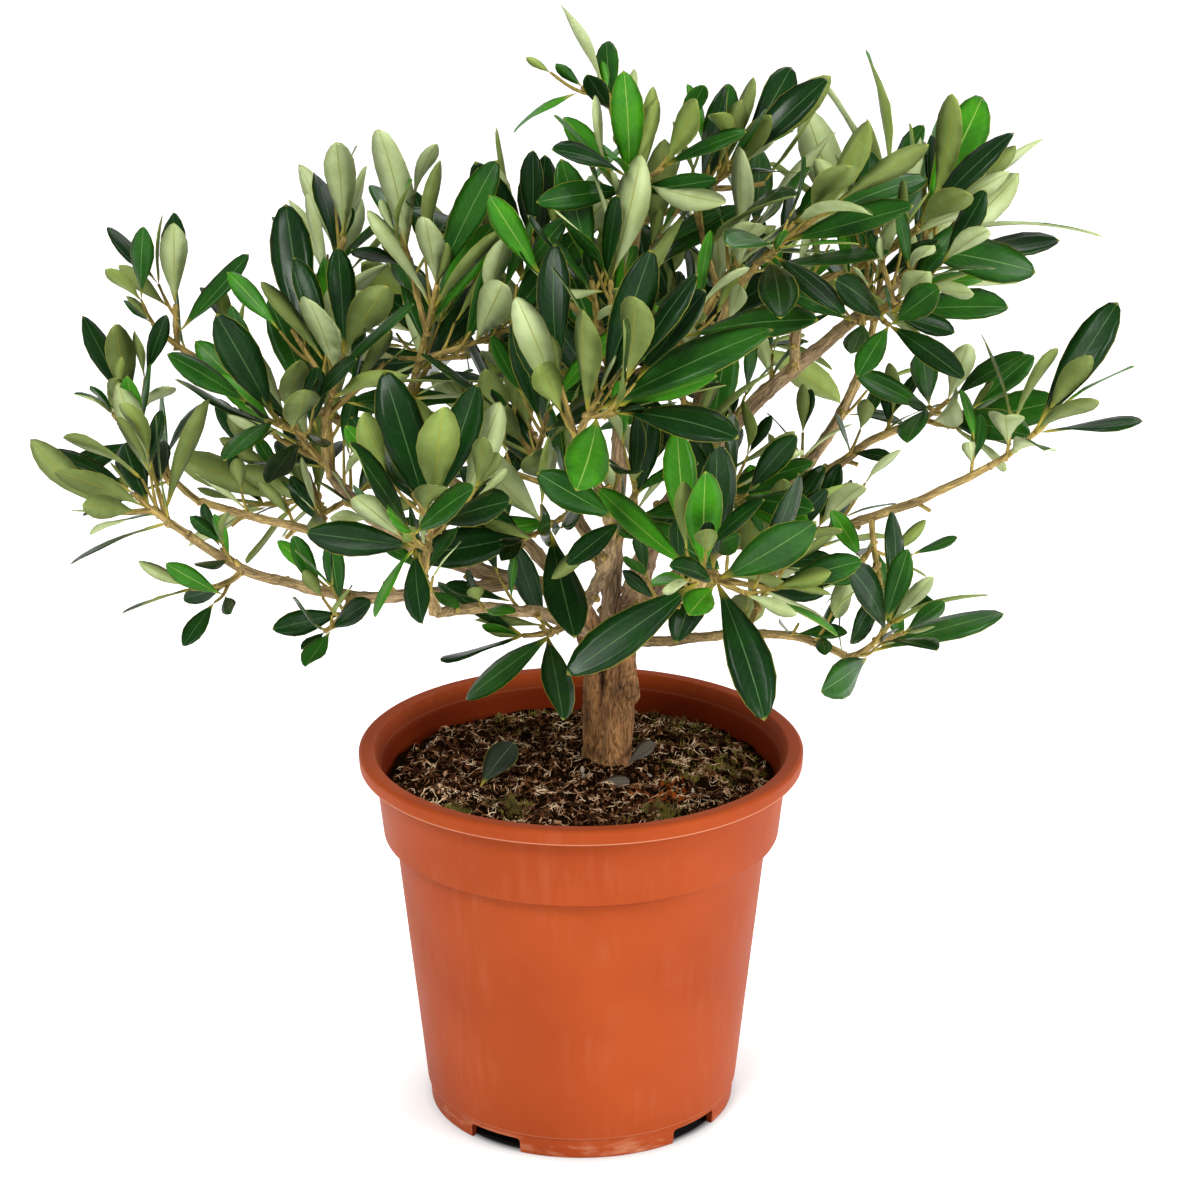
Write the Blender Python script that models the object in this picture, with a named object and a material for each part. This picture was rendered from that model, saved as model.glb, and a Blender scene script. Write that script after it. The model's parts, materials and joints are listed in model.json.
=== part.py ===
"""Olive bonsai in a moulded plastic pot: a short trunk that forks low, long thin boughs, and masses of
narrow leaves in opposite pairs. Sizes are in millimetres: +X to the right, +Y to the back, +Z up, with
the origin under the middle of the pot."""

import math
import random
from collections import namedtuple

import bmesh
import bpy
from mathutils import Matrix, Quaternion, Vector
from mathutils.bvhtree import BVHTree
from mathutils.geometry import interpolate_bezier

METRES = 0.001
GAP = 0.3  # between pieces that touch
UP = Vector((0, 0, 1))

# ---------------------------------------------------------------- pot and soil

POT_HEIGHT = 163.4
LIP_RADIUS = 95.0
LIP_HEIGHT = 6.4
LIP_OPENING = 88.0
COLLAR_TOP_RADIUS = 86.0
COLLAR_RADIUS = 84.6
COLLAR_BOTTOM = 125.5
COLLAR_STEP = 1.2
WALL_TOP_RADIUS = 80.2
WALL_FOOT_RADIUS = 67.7
WALL = 1.8
FLOOR = 3.0
FOOT_HEIGHT = 9.7
FOOT_RADIUS = 66.3
FOOT_WALL = 3.0
POT_SIDES = 48
NOTCH_CENTRES = (-34, 47.5, 138, 228)  # degrees round from the front
NOTCH_WIDTH = 20.0
NOTCH_HEIGHT = 6.5
DRAIN_RADIUS = 5.0
DRAIN_CIRCLE = 50.0

SOIL_TOP = 151.0
SOIL_SHOULDER = 2.5

# ---------------------------------------------------------------- trunk and boughs

TRUNK_FOOT = Vector((11, 13, SOIL_TOP + GAP))
TRUNK_SIDES = 12
ROOT_FLARE = 1.1
LIMB_SIDES = 8
THIN_LIMB_SIDES = 6
THIN_LIMB = 5.0  # a limb whose foot is no thicker than this has fewer sides
LIMB_STEPS = 6
CURVE_HANDLE = 0.36
BURL_RADIUS = 6.5
BURL_CENTRE = Vector((19.0, 11.0, 186.0))

# A limb leaves its parent, at a share of the parent's length, along `heads`, and reaches `tip`
# along `enters`. `thick` is its diameter at the foot and at the tip.
Limb = namedtuple("Limb", "parent share heads tip enters thick")

TRUNK_LIMBS = {
    "trunk": Limb(None, 0, (0.05, 0, 1), (10, 12, 206), (-0.1, 0, 1), (21.5, 19)),
    "left_arm": Limb("trunk", 0.62, (-0.4, -0.2, 1), (-4, 2, 231), (-0.45, -0.2, 0.8), (15, 9)),
    "right_arm": Limb("trunk", 0.55, (0.5, 0.0, 1), (23, 13, 226), (0.5, 0.05, 0.9), (17, 11)),
}

BOUGHS = {
    "left_bough": Limb("left_arm", 1, (-1, -0.2, 0.3), (-105, 20, 277), (-0.55, 0.05, 0.8), (7.5, 5)),
    "low_left_bough": Limb("left_bough", 0.2, (-1, -0.3, -0.1), (-161, -30, 268), (-0.75, 0, 0.65), (6, 3.6)),
    "elbow_bough": Limb("left_arm", 0.55, (-0.4, -0.7, 0.5), (-57, -76, 250), (-0.6, -0.6, 0.1), (5.5, 4.2)),
    "elbow_shoot": Limb("elbow_bough", 1, (-0.25, 0, 0.9), (-61, -82, 272), (0.15, 0, 1), (4.2, 3.2)),
    "back_left_bough": Limb("left_bough", 0.42, (-1, 0.6, 0.1), (-163, 35, 261), (-1, 0, 0.35), (5, 3.2)),
    "high_left_bough": Limb("left_arm", 0.9, (-0.6, 0.6, 0.7), (-160, 50, 318), (-1, 0, 0.45), (6, 3.4)),
    "front_bough": Limb("left_arm", 0.8, (0.25, -0.6, 0.6), (-1, -70, 314), (-0.5, -0.4, 0.75), (5.5, 4)),
    "centre_bough": Limb("trunk", 0.9, (0.1, 0.25, 1), (14, 30, 330), (-0.1, 0.05, 1), (8.5, 5)),
    "top_bough": Limb("centre_bough", 1, (0.15, -0.1, 1), (14, 16, 430), (-0.5, -0.05, 1), (5, 3)),
    "right_bough": Limb("right_arm", 1, (0.2, 0.1, 1), (133, 26, 361), (0.8, 0, 0.75), (9.5, 4.5)),
    "upright_bough": Limb("right_bough", 0.36, (-0.3, -0.4, 1), (60, 0, 356), (0.3, 0, 1), (5.5, 3.4)),
    "stub_bough": Limb("right_bough", 0.68, (-0.2, -0.3, 1), (93, 12, 368), (0, 0, 1), (4.6, 4.2)),
    "right_back_bough": Limb("right_arm", 0.9, (0.7, 0.5, 0.25), (123, 74, 314), (0.3, 0.1, 1), (8, 4)),
    "right_side_bough": Limb(
        "right_back_bough", 0.6, (0.8, -0.6, 0.2), (138, 30, 296), (0.9, -0.2, 0.3), (4.6, 3.2)
    ),
    "right_mid_bough": Limb(
        "right_back_bough", 0.32, (0.8, -0.8, 0.35), (168, -25, 296), (0.85, 0, 0.5), (5, 3)
    ),
    "low_right_bough": Limb(
        "right_arm", 0.55, (0.8, -0.6, 0.1), (108, -55, 224), (0.85, -0.3, -0.4), (4.6, 3.2)
    ),
    "star_bough": Limb("right_arm", 0.75, (0.2, -0.8, 0.5), (51, -95, 273), (0.3, -0.6, 0.6), (4.8, 3.8)),
    "back_bough": Limb("centre_bough", 0.2, (-0.2, 1, 0.6), (-30, 78, 300), (-0.2, 0.5, 0.8), (6.5, 3.6)),
    "back_right_bough": Limb("right_back_bough", 0.3, (0, 1, 0.4), (62, 98, 292), (0.1, 0.7, 0.7), (5, 3.4)),
}

# ---------------------------------------------------------------- foliage

# A mass is carried by a limb, at a share of its length. Its stem grows `reach` mm along `grows`, with
# `twigs` side twigs, and its leaves are about `leaf` mm long.
Mass = namedtuple("Mass", "limb share grows reach twigs leaf seed")

MASSES = {
    "low_left_tip": Mass("low_left_bough", 1, (-1.1, 0.25, 0.8), 27, 2, 51, 835),
    "low_left_under": Mass("low_left_bough", 0.82, (-1.1, -0.45, -0.2), 21, 0, 39, 48),
    "low_left_middle": Mass("low_left_bough", 0.5, (-0.3, -0.8, -0.2), 25, 0, 50, 558),
    "back_left_tip": Mass("back_left_bough", 1, (-0.6, 0.05, 0.9), 47, 2, 47, 298),
    "left_side": Mass("left_bough", 0.94, (-0.65, 0.25, 0.7), 36, 3, 59, 939),
    "left_upright": Mass("left_bough", 1, (0.15, -0.35, 1), 61, 3, 60, 821),
    "high_left_tip": Mass("high_left_bough", 1, (-0.7, -0.1, 0.6), 28, 1, 50, 776),
    "high_left_up": Mass("high_left_bough", 0.8, (0.45, 0.45, 1.25), 71, 1, 48, 608),
    "high_left_inner": Mass("high_left_bough", 0.55, (0.15, -0.25, 0.55), 90, 4, 58, 585),
    "elbow_tip": Mass("elbow_shoot", 1, (0.15, -0.35, 0.85), 30, 3, 60, 313),
    "front_tip": Mass("front_bough", 1, (0.25, -0.35, 0.75), 34, 2, 69, 223),
    "front_side": Mass("front_bough", 0.5, (0.15, -0.55, 0.7), 42, 1, 47, 890),
    "trunk_front": Mass("left_arm", 0.75, (-0.9, -0.55, -0.05), 24, 1, 55, 273),
    "centre_left": Mass("centre_bough", 0.45, (-0.55, -0.45, 0.7), 75, 3, 54, 630),
    "centre_front": Mass("centre_bough", 0.75, (-0.05, -0.6, 1.05), 86, 3, 59, 529),
    "centre_right": Mass("centre_bough", 0.9, (0.55, -0.2, 0.7), 81, 4, 60, 758),
    "top_left": Mass("centre_bough", 0.92, (-0.6, 0.3, 0.65), 62, 3, 60, 953),
    "top_tip": Mass("top_bough", 1, (-0.2, 0, 0.8), 11, 1, 46, 12),
    "top_front": Mass("top_bough", 0.72, (-0.1, -0.9, 0.35), 30, 1, 52, 853),
    "top_side": Mass("top_bough", 0.55, (0.9, 0.25, 0.55), 50, 2, 54, 730),
    "upright_tip": Mass("upright_bough", 1, (0.8, -0.85, 1.3), 55, 3, 66, 337),
    "stub_side": Mass("stub_bough", 0.9, (0.75, 0.05, 0.4), 50, 2, 68, 330),
    "right_tip": Mass("right_bough", 1, (0.7, 0, 0.8), 44, 2, 66, 435),
    "right_top": Mass("right_bough", 0.85, (0.6, -0.85, 0.65), 48, 3, 48, 790),
    "right_back_tip": Mass("right_back_bough", 1, (0.1, 0.3, 0.55), 56, 2, 58, 217),
    "right_side_tip": Mass("right_side_bough", 1, (0.5, -0.45, 0.5), 25, 2, 54, 325),
    "right_mid_tip": Mass("right_mid_bough", 1, (0.35, -0.15, 0.35), 23, 0, 69, 760),
    "right_mid_under": Mass("right_mid_bough", 0.6, (0.1, -0.95, -0.75), 32, 2, 39, 747),
    "right_inner": Mass("right_bough", 0.3, (0.4, -1.25, 0.3), 60, 2, 56, 844),
    "low_right_tip": Mass("low_right_bough", 1, (0.85, -0.15, 0.8), 23, 2, 64, 758),
    "low_right_middle": Mass("low_right_bough", 0.6, (0.35, 0.45, 0.6), 39, 3, 52, 90),
    "star_tip": Mass("star_bough", 1, (0.15, -0.8, 0.1), 12, 2, 70, 661),
    "star_side": Mass("star_bough", 0.6, (0.9, -0.1, 0.55), 44, 1, 45, 933),
    "back_tip": Mass("back_bough", 1, (-1.2, 0.75, 0.55), 52, 4, 59, 916),
    "back_up": Mass("back_bough", 0.7, (-0.35, -0.65, 1.2), 60, 4, 57, 921),
    "back_right_tip": Mass("back_right_bough", 1, (0.45, 0.6, 1.05), 49, 4, 54, 501),
    "back_right_up": Mass("back_right_bough", 0.75, (-0.25, 0, 0.35), 71, 3, 55, 172),
    "back_left_low": Mass("back_left_bough", 0.55, (-0.2, 0.9, 0.25), 45, 2, 45, 245),
}

STEM_THICK = 3.4  # the thickest that a mass's stem is at its foot
STEM_SHRINK = 0.95  # a stem's foot, as a share of the limb's tip that it goes on from
SIDE_STEM = 0.7  # a stem's foot, as a share of the limb that it stands on
TWIG_THICK = 2.7
TWIG_TIP = 2.0
TWIG_SIDES = 3
STEM_STEPS = 3
TWIG_STEPS = 2
TWIG_SHARE = 0.75  # a side twig's length, as a share of its stem's reach
SHORTEST_TWIG = 16.0
TWIG_FROM = 0.15  # share of the stem where its side twigs begin
TWIG_SPREAD = 0.65
TWIG_ANGLE = 48  # degrees between a twig and its stem
GOLDEN_ANGLE = 137.5
LIFT = 0.35  # how much a twig turns up towards the light
FIRST_NODE = 0.3  # leaves start at this share of a shoot's length
LAST_NODE = 0.98
NODE_SPACING = 12.5
OPEN_AT_FOOT = 62  # degrees between a leaf and its shoot
OPEN_AT_TIP = 24
LEAF_CHANCE = 0.9
LEAF_LIFT = 0.12
TOWARDS_LIGHT = 0.4
LEAF_WIDTH = 0.31  # of the leaf's length
LEAF_THICK = 1.4
ROOT_DEPTH = 0.3  # how far a leaf's root is sunk past the middle of its shoot
RIDGE = 0.4
LEAF_SHOULDERS = ((0.34, 0.84), (0.7, 0.96))  # share of the length, share of the half width
CLEARANCE = 1.5  # kept all round a leaf or a twig
SQUARED = 1.2  # how much wider the square tube that stands for a round limb is
TWIG_CLEAR_FROM = 0.3
SIBLING_START = 0.28  # leaves of one mass may touch up to this share of their length
STRANGER_START = 0.06
ROOM_SHARE = 0.85  # how far beyond its stem a mass's space reaches, in leaf lengths
LOWEST_LEAF = POT_HEIGHT + 2
CROWN_DEPTH = 300.0  # front to back

WOOD = ("olive bark", (0.36, 0.25, 0.16), 0.85)
LEAF_GREEN = ("olive leaf", (0.10, 0.22, 0.08), 0.5)
TERRACOTTA = ("terracotta plastic", (0.62, 0.19, 0.07), 0.45)
PEAT = ("peat", (0.06, 0.035, 0.02), 0.95)

Shoot = namedtuple("Shoot", "points radii")
Leaf = namedtuple("Leaf", "root along up length width curl")
Body = namedtuple("Body", "owner centre radius tree")


def material(name, colour, roughness):
    """A Principled material, made once."""
    made = bpy.data.materials.get(name)
    if made is None:
        made = bpy.data.materials.new(name)
        made.use_nodes = True
        shader = made.node_tree.nodes["Principled BSDF"]
        shader.inputs["Base Color"].default_value = (*colour, 1)
        shader.inputs["Roughness"].default_value = roughness
    return made


def make_object(name, bm, finish):
    """An object from a bmesh in millimetres."""
    bmesh.ops.scale(bm, vec=(METRES,) * 3, verts=bm.verts)
    bmesh.ops.recalc_face_normals(bm, faces=bm.faces)
    mesh = bpy.data.meshes.new(name)
    bm.to_mesh(mesh)
    bm.free()
    mesh.materials.append(material(*finish))
    made = bpy.data.objects.new(name, mesh)
    bpy.context.scene.collection.objects.link(made)
    return made


def apply_boolean(target, others, operation, solver="EXACT"):
    """Joins or cuts target with a collection of others, applies it, and removes the others."""
    group = bpy.data.collections.new("operands")
    bpy.context.scene.collection.children.link(group)
    for other in others:
        bpy.context.scene.collection.objects.unlink(other)
        group.objects.link(other)
    modifier = target.modifiers.new("boolean", "BOOLEAN")
    modifier.operation = operation
    modifier.solver = solver
    modifier.operand_type = "COLLECTION"
    modifier.collection = group
    bpy.context.view_layer.update()
    graph = bpy.context.evaluated_depsgraph_get()
    joined = bpy.data.meshes.new_from_object(target.evaluated_get(graph))
    target.modifiers.clear()
    target.data = joined
    for other in others:
        bpy.data.objects.remove(other)
    bpy.data.collections.remove(group)


# ---------------------------------------------------------------- pot


def turned(bm, profile, sides):
    """A closed profile of (radius, height) points, spun once round Z."""
    corners = [bm.verts.new((radius, 0, height)) for radius, height in profile]
    loop = [bm.edges.new((a, b)) for a, b in zip(corners, corners[1:] + corners[:1])]
    bmesh.ops.spin(
        bm,
        geom=corners + loop,
        cent=(0, 0, 0),
        axis=(0, 0, 1),
        angle=math.tau,
        steps=sides,
        use_merge=True,
    )
    bmesh.ops.remove_doubles(bm, verts=bm.verts, dist=0.01)


def pot_profile():
    """Half of the pot's section: up the outside, over the lip, down the inside and across the floor."""
    lip_bottom = POT_HEIGHT - LIP_HEIGHT
    inner_top = WALL_TOP_RADIUS - WALL
    inner_foot = WALL_FOOT_RADIUS - WALL
    return [
        (FOOT_RADIUS - FOOT_WALL, 0),
        (FOOT_RADIUS, 0),
        (FOOT_RADIUS + 0.5, FOOT_HEIGHT - 0.8),
        (WALL_FOOT_RADIUS, FOOT_HEIGHT),
        (WALL_TOP_RADIUS, COLLAR_BOTTOM - COLLAR_STEP),
        (COLLAR_RADIUS, COLLAR_BOTTOM),
        (COLLAR_TOP_RADIUS, lip_bottom),
        (LIP_RADIUS, lip_bottom - 0.4),
        (LIP_RADIUS, POT_HEIGHT - 1.2),
        (LIP_RADIUS - 1.4, POT_HEIGHT),
        (LIP_OPENING, POT_HEIGHT - 0.2),
        (COLLAR_TOP_RADIUS - WALL, lip_bottom - WALL),
        (COLLAR_RADIUS - WALL, COLLAR_BOTTOM + WALL),
        (inner_top, COLLAR_BOTTOM),
        (inner_foot, FOOT_HEIGHT + FLOOR),
        (0, FOOT_HEIGHT + FLOOR),
        (0, FOOT_HEIGHT),
        (FOOT_RADIUS - FOOT_WALL, FOOT_HEIGHT),
    ]


def turned_solid(name, profile, finish):
    """A solid of revolution whose profile starts and ends on, or clear of, the axis."""
    bm = bmesh.new()
    turned(bm, profile, POT_SIDES)
    axis_edges = [e for e in bm.edges if all(math.hypot(*v.co.xy) < 0.01 for v in e.verts)]
    bmesh.ops.delete(bm, geom=axis_edges, context="EDGES")
    bmesh.ops.holes_fill(bm, edges=[e for e in bm.edges if e.is_boundary], sides=0)
    return make_object(name, bm, finish)


def make_pot():
    """The pot, with drain notches cut in its foot and a drain hole beside each notch."""
    pot = turned_solid("pot", pot_profile(), TERRACOTTA)
    cutters = []
    for centre in NOTCH_CENTRES:
        turn = Matrix.Rotation(math.radians(centre), 4, "Z")
        width = 2 * FOOT_RADIUS * math.sin(math.radians(NOTCH_WIDTH / 2))
        size = Matrix.Diagonal((width, 4 * FOOT_WALL, 2 * NOTCH_HEIGHT, 1))
        notch = bmesh.new()
        bmesh.ops.create_cube(notch, size=1, matrix=turn @ Matrix.Translation((0, -FOOT_RADIUS, 0)) @ size)
        cutters.append(make_object("notch_cutter", notch, TERRACOTTA))
        hole = bmesh.new()
        bmesh.ops.create_cone(
            hole,
            cap_ends=True,
            segments=12,
            radius1=DRAIN_RADIUS,
            radius2=DRAIN_RADIUS,
            depth=4 * FLOOR,
            matrix=turn @ Matrix.Translation((0, -DRAIN_CIRCLE, FOOT_HEIGHT + FLOOR / 2)),
        )
        cutters.append(make_object("drain_cutter", hole, TERRACOTTA))
    apply_boolean(pot, cutters, "DIFFERENCE")
    return pot


def make_soil():
    """The peat that fills the pot, with a flat top and a rounded shoulder."""
    inner_foot = WALL_FOOT_RADIUS - WALL - GAP
    inner_top = WALL_TOP_RADIUS - WALL - GAP
    collar = COLLAR_RADIUS - WALL - GAP
    profile = [
        (0, FOOT_HEIGHT + FLOOR + GAP),
        (inner_foot, FOOT_HEIGHT + FLOOR + GAP),
        (inner_top, COLLAR_BOTTOM),
        (collar, COLLAR_BOTTOM + WALL + 1),
        (collar + 0.6, SOIL_TOP - SOIL_SHOULDER),
        (collar - 2 * SOIL_SHOULDER, SOIL_TOP),
        (0, SOIL_TOP),
    ]
    return turned_solid("soil", profile, PEAT)


# ---------------------------------------------------------------- limbs


def along(points, share):
    """The place and the direction at a share of a route's length."""
    legs = [(a, b, (b - a).length) for a, b in zip(points, points[1:])]
    left = share * sum(length for a, b, length in legs)
    for a, b, length in legs:
        if left <= length or b == points[-1]:
            break
        left -= length
    return a.lerp(b, min(left / length, 1)), (b - a).normalized()


def bend(start, heads, tip, enters, steps):
    """A smooth route that leaves start along heads and reaches tip along enters."""
    handle = CURVE_HANDLE * (tip - start).length
    leaving = start + handle * heads.normalized()
    arriving = tip - handle * enters.normalized()
    return interpolate_bezier(start, leaving, arriving, tip, steps + 1)


def tapering(foot, tip, steps):
    """Radii that shrink evenly from a limb's foot to its tip."""
    return [foot + (tip - foot) * i / steps for i in range(steps + 1)]


def route_limbs():
    """Every limb's route and its radii, by name, from the trunk up."""
    routes = {}
    for name, limb in {**TRUNK_LIMBS, **BOUGHS}.items():
        start = TRUNK_FOOT
        if limb.parent:
            start, towards = along(routes[limb.parent].points, limb.share)
            if limb.share == 1:
                start = start + GAP * towards
        points = bend(start, Vector(limb.heads), Vector(limb.tip), Vector(limb.enters), LIMB_STEPS)
        foot, tip = (thick / 2 for thick in limb.thick)
        routes[name] = Shoot(points, tapering(foot, tip, LIMB_STEPS))
    routes["trunk"].radii[0] *= ROOT_FLARE
    return routes


def limb_tube(shoot, sides, extra=0.0):
    """A tapering limb as a closed bmesh: a short cone whose end face is extruded on from ring to ring.
    Extra widens it all over, for a cutter that leaves a gap."""
    points = [p.copy() for p in shoot.points]
    points[0] -= extra * (points[1] - points[0]).normalized()
    points[-1] += extra * (points[-1] - points[-2]).normalized()
    bm = bmesh.new()
    bmesh.ops.create_cone(bm, cap_ends=True, segments=sides, radius1=1, radius2=1, depth=1)
    end = next(f for f in bm.faces if all(v.co.z > 0 for v in f.verts))
    circle = {v: Vector((v.co.x, v.co.y, 0)) for v in bm.verts}
    heading = (points[1] - points[0]).normalized()
    turn = heading.to_track_quat("Z", "Y")
    for v in circle:
        if v not in end.verts[:]:
            v.co = points[0] + turn @ (circle[v] * (shoot.radii[0] + extra))
    for i in range(1, len(points)):
        if i > 1:
            corners = end.verts[:]
            end = bmesh.ops.extrude_discrete_faces(bm, faces=[end])["faces"][0]
            circle.update({new: circle[old] for new, old in zip(end.verts, corners)})
        towards = (points[min(i + 1, len(points) - 1)] - points[i - 1]).normalized()
        turn = heading.rotation_difference(towards) @ turn
        heading = towards
        for v in end.verts:
            v.co = points[i] + turn @ (circle[v] * (shoot.radii[i] + extra))
    return bm


def limb_sides(name):
    """How many sides a limb has: fewer where it is thin."""
    if name in TRUNK_LIMBS:
        return TRUNK_SIDES
    return THIN_LIMB_SIDES if BOUGHS[name].thick[0] <= THIN_LIMB else LIMB_SIDES


def tree_of(bm):
    """A bmesh's search tree, for telling whether it touches another."""
    bm.faces.ensure_lookup_table()
    return BVHTree.FromBMesh(bm)


def make_trunk(routes):
    """The trunk up to its fork, its two arms and the burl on its right side, as one solid that is cut
    flat where it meets the soil."""
    tubes = {name: limb_tube(routes[name], TRUNK_SIDES) for name in TRUNK_LIMBS}
    for v in tubes["trunk"].verts:
        if v.co.z < TRUNK_FOOT.z + 1:
            v.co.z = TRUNK_FOOT.z
    stems = [make_object(name, tube, WOOD) for name, tube in tubes.items()]
    burl = bmesh.new()
    bmesh.ops.create_icosphere(
        burl, subdivisions=1, radius=BURL_RADIUS, matrix=Matrix.Translation(BURL_CENTRE)
    )
    stems.append(make_object("burl", burl, WOOD))
    trunk = stems[0]
    apply_boolean(trunk, stems[1:], "UNION")
    return trunk


def make_boughs(routes):
    """Each bough as one tapering limb, cut clear of every limb that came before it."""
    before = list(TRUNK_LIMBS)
    for name in BOUGHS:
        bough = limb_tube(routes[name], limb_sides(name))
        tree = tree_of(bough)
        cutters = []
        for other in before:
            cutter = limb_tube(routes[other], limb_sides(other), GAP)
            if tree.overlap(tree_of(cutter)):
                cutters.append(make_object(f"{other}_cutter", cutter, WOOD))
            else:
                cutter.free()
        made = make_object(name, bough, WOOD)
        if cutters:
            apply_boolean(made, cutters, "DIFFERENCE")
        before.append(name)


# ---------------------------------------------------------------- growth of a mass


def stem_of(mass, routes):
    """A mass's stem: it goes on from a limb's tip, or stands on a limb's side."""
    limb = routes[mass.limb]
    place, axis = along(limb.points, mass.share)
    heads = Vector(mass.grows).normalized()
    if mass.share == 1:
        thick = 2 * limb.radii[-1] * STEM_SHRINK
        start = place + GAP * axis
        onward = axis
    else:
        radius = limb.radii[0] + (limb.radii[-1] - limb.radii[0]) * mass.share
        onward = (heads - heads.dot(axis) * axis).normalized()
        thick = 2 * radius * SIDE_STEM
        start = place + (radius + GAP) * onward
    foot = min(thick, STEM_THICK) / 2
    points = bend(start, onward, start + mass.reach * heads, heads + LIFT * UP, STEM_STEPS)
    slant = onward.angle(points[1] - points[0])
    points = [p + foot * math.sin(slant) * onward for p in points]
    return Shoot(points, tapering(foot, TWIG_TIP / 2, STEM_STEPS))


def turned_about(axis, degrees):
    """A direction square to an axis, turned round it."""
    return Quaternion(axis, math.radians(degrees)) @ axis.orthogonal().normalized()


def twigs_of(stem, mass, dice):
    """A mass's side twigs, set round its stem by the golden angle and turning up to the light."""
    first = dice.uniform(0, 360)
    for i in range(mass.twigs):
        share = TWIG_FROM + TWIG_SPREAD * (i + 0.5) / mass.twigs
        start, axis = along(stem.points, share)
        opening = math.radians(TWIG_ANGLE + dice.uniform(-10, 10))
        heads = math.cos(opening) * axis + math.sin(opening) * turned_about(axis, first + GOLDEN_ANGLE * i)
        length = mass.reach * TWIG_SHARE * (1 - 0.4 * share) * dice.uniform(0.85, 1.15)
        length = max(length, SHORTEST_TWIG)
        tip = start + length * (heads + LIFT / 2 * UP).normalized()
        points = bend(start, heads, tip, heads + LIFT * UP, TWIG_STEPS)
        yield Shoot(points, tapering(TWIG_THICK / 2, TWIG_TIP / 2, TWIG_STEPS))


def leaves_of(shoot, mass, dice):
    """Leaves in opposite pairs, each pair a quarter turn on from the last, closing up towards the tip."""
    length = sum((b - a).length for a, b in zip(shoot.points, shoot.points[1:]))
    pairs = max(2, round((1 - FIRST_NODE) * length / NODE_SPACING) + 1)
    turn = dice.uniform(0, 360)
    for i in range(pairs):
        share = FIRST_NODE + (LAST_NODE - FIRST_NODE) * i / (pairs - 1)
        root, axis = along(shoot.points, share)
        across = turned_about(axis, turn + 90 * i + dice.uniform(-15, 15))
        for side in (1, -1):
            degrees = OPEN_AT_FOOT + (OPEN_AT_TIP - OPEN_AT_FOOT) * share + dice.uniform(-10, 10)
            opening = math.radians(degrees)
            size = mass.leaf * dice.uniform(0.75, 1.12) * (1 - 0.2 * abs(2 * share - 1.2))
            width = size * LEAF_WIDTH * dice.uniform(0.88, 1.12)
            curl = dice.uniform(-0.15, 0.55)
            roll = math.radians(dice.uniform(-30, 30))
            grows = dice.random() < LEAF_CHANCE
            heads = math.cos(opening) * axis + side * math.sin(opening) * across
            heads = (heads + LEAF_LIFT * UP).normalized()
            facing = axis + TOWARDS_LIGHT * UP
            facing = (facing - facing.dot(heads) * heads).normalized()
            if grows:
                yield Leaf(root, heads, Quaternion(heads, roll) @ facing, size, width, curl)


def leaf_point(leaf, share, sideways=0.0, above=0.0):
    """A point on a leaf: a share of the way along its curl, off to one side of its rib, and above it."""
    angle = leaf.curl * share
    if abs(leaf.curl) < 1e-3:
        ahead, down = share, 0.0
    else:
        ahead, down = math.sin(angle) / leaf.curl, (1 - math.cos(angle)) / leaf.curl
    normal = math.cos(angle) * leaf.up + math.sin(angle) * leaf.along
    side = leaf.along.cross(leaf.up)
    place = leaf.root + leaf.length * (ahead * leaf.along - down * leaf.up)
    return place + sideways * side + above * normal


# ---------------------------------------------------------------- keeping clear


def slab_tree(leaf, begins, margin):
    """The search tree of a flat slab that holds a leaf from a share of its length on."""
    above = LEAF_THICK / 2 + margin
    ends = 1 + margin / leaf.length
    rows = [(begins, 0.5), *LEAF_SHOULDERS, (ends, 0.12)]
    corners = [
        leaf_point(leaf, share, side * (width * leaf.width / 2 + margin), height)
        for share, width in rows
        for side, height in ((-1, -above), (1, -above), (1, above), (-1, above))
    ]
    return BVHTree.FromPolygons(corners, prism_faces(len(rows), 4))


def shoot_tree(shoot, begins, margin):
    """The search tree of a square tube round a shoot from a share of its length on."""
    steps = 2 * (len(shoot.points) - 1)
    corners = []
    for i in range(steps + 1):
        share = begins + (1 - begins) * i / steps
        place, axis = along(shoot.points, share)
        radius = SQUARED * (shoot.radii[0] + (shoot.radii[-1] - shoot.radii[0]) * share) + margin
        across = axis.orthogonal().normalized()
        other = axis.cross(across)
        corners += [place + radius * spoke for spoke in (across, other, -across, -other)]
    return BVHTree.FromPolygons(corners, prism_faces(steps + 1, 4))


def prism_faces(rings, sides):
    """The faces of a tube of rings, with both ends closed."""
    walls = []
    for ring in range(rings - 1):
        low, high = sides * ring, sides * (ring + 1)
        for i in range(sides):
            j = (i + 1) % sides
            walls.append((low + i, low + j, high + j, high + i))
    last = sides * (rings - 1)
    return walls + [tuple(range(sides)), tuple(range(last, last + sides))]


def clear(body_trees, centre, radius, owner, taken):
    """Whether a new piece keeps clear of all that has grown: (against its own mass, against others)."""
    own, others = body_trees
    for body in taken:
        if (body.centre - centre).length > body.radius + radius:
            continue
        mine = own if body.owner == owner else others
        if mine is not None and mine.overlap(body.tree):
            return False
    return True


def spread(points):
    """The centre and radius of a ball round some points."""
    centre = sum(points, Vector()) / len(points)
    return centre, max((p - centre).length for p in points)


def shoot_body(owner, shoot):
    """A shoot as something that others keep clear of."""
    centre, radius = spread(shoot.points)
    return Body(owner, centre, radius + shoot.radii[0], shoot_tree(shoot, 0, 0))


def first_bodies(routes, stems):
    """The limbs and every mass's stem, which no twig or leaf may touch."""
    taken = [shoot_body(name, Shoot(points, radii)) for name, (points, radii) in routes.items()]
    return taken + [shoot_body(name, stem) for name, stem in stems.items()]


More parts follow.
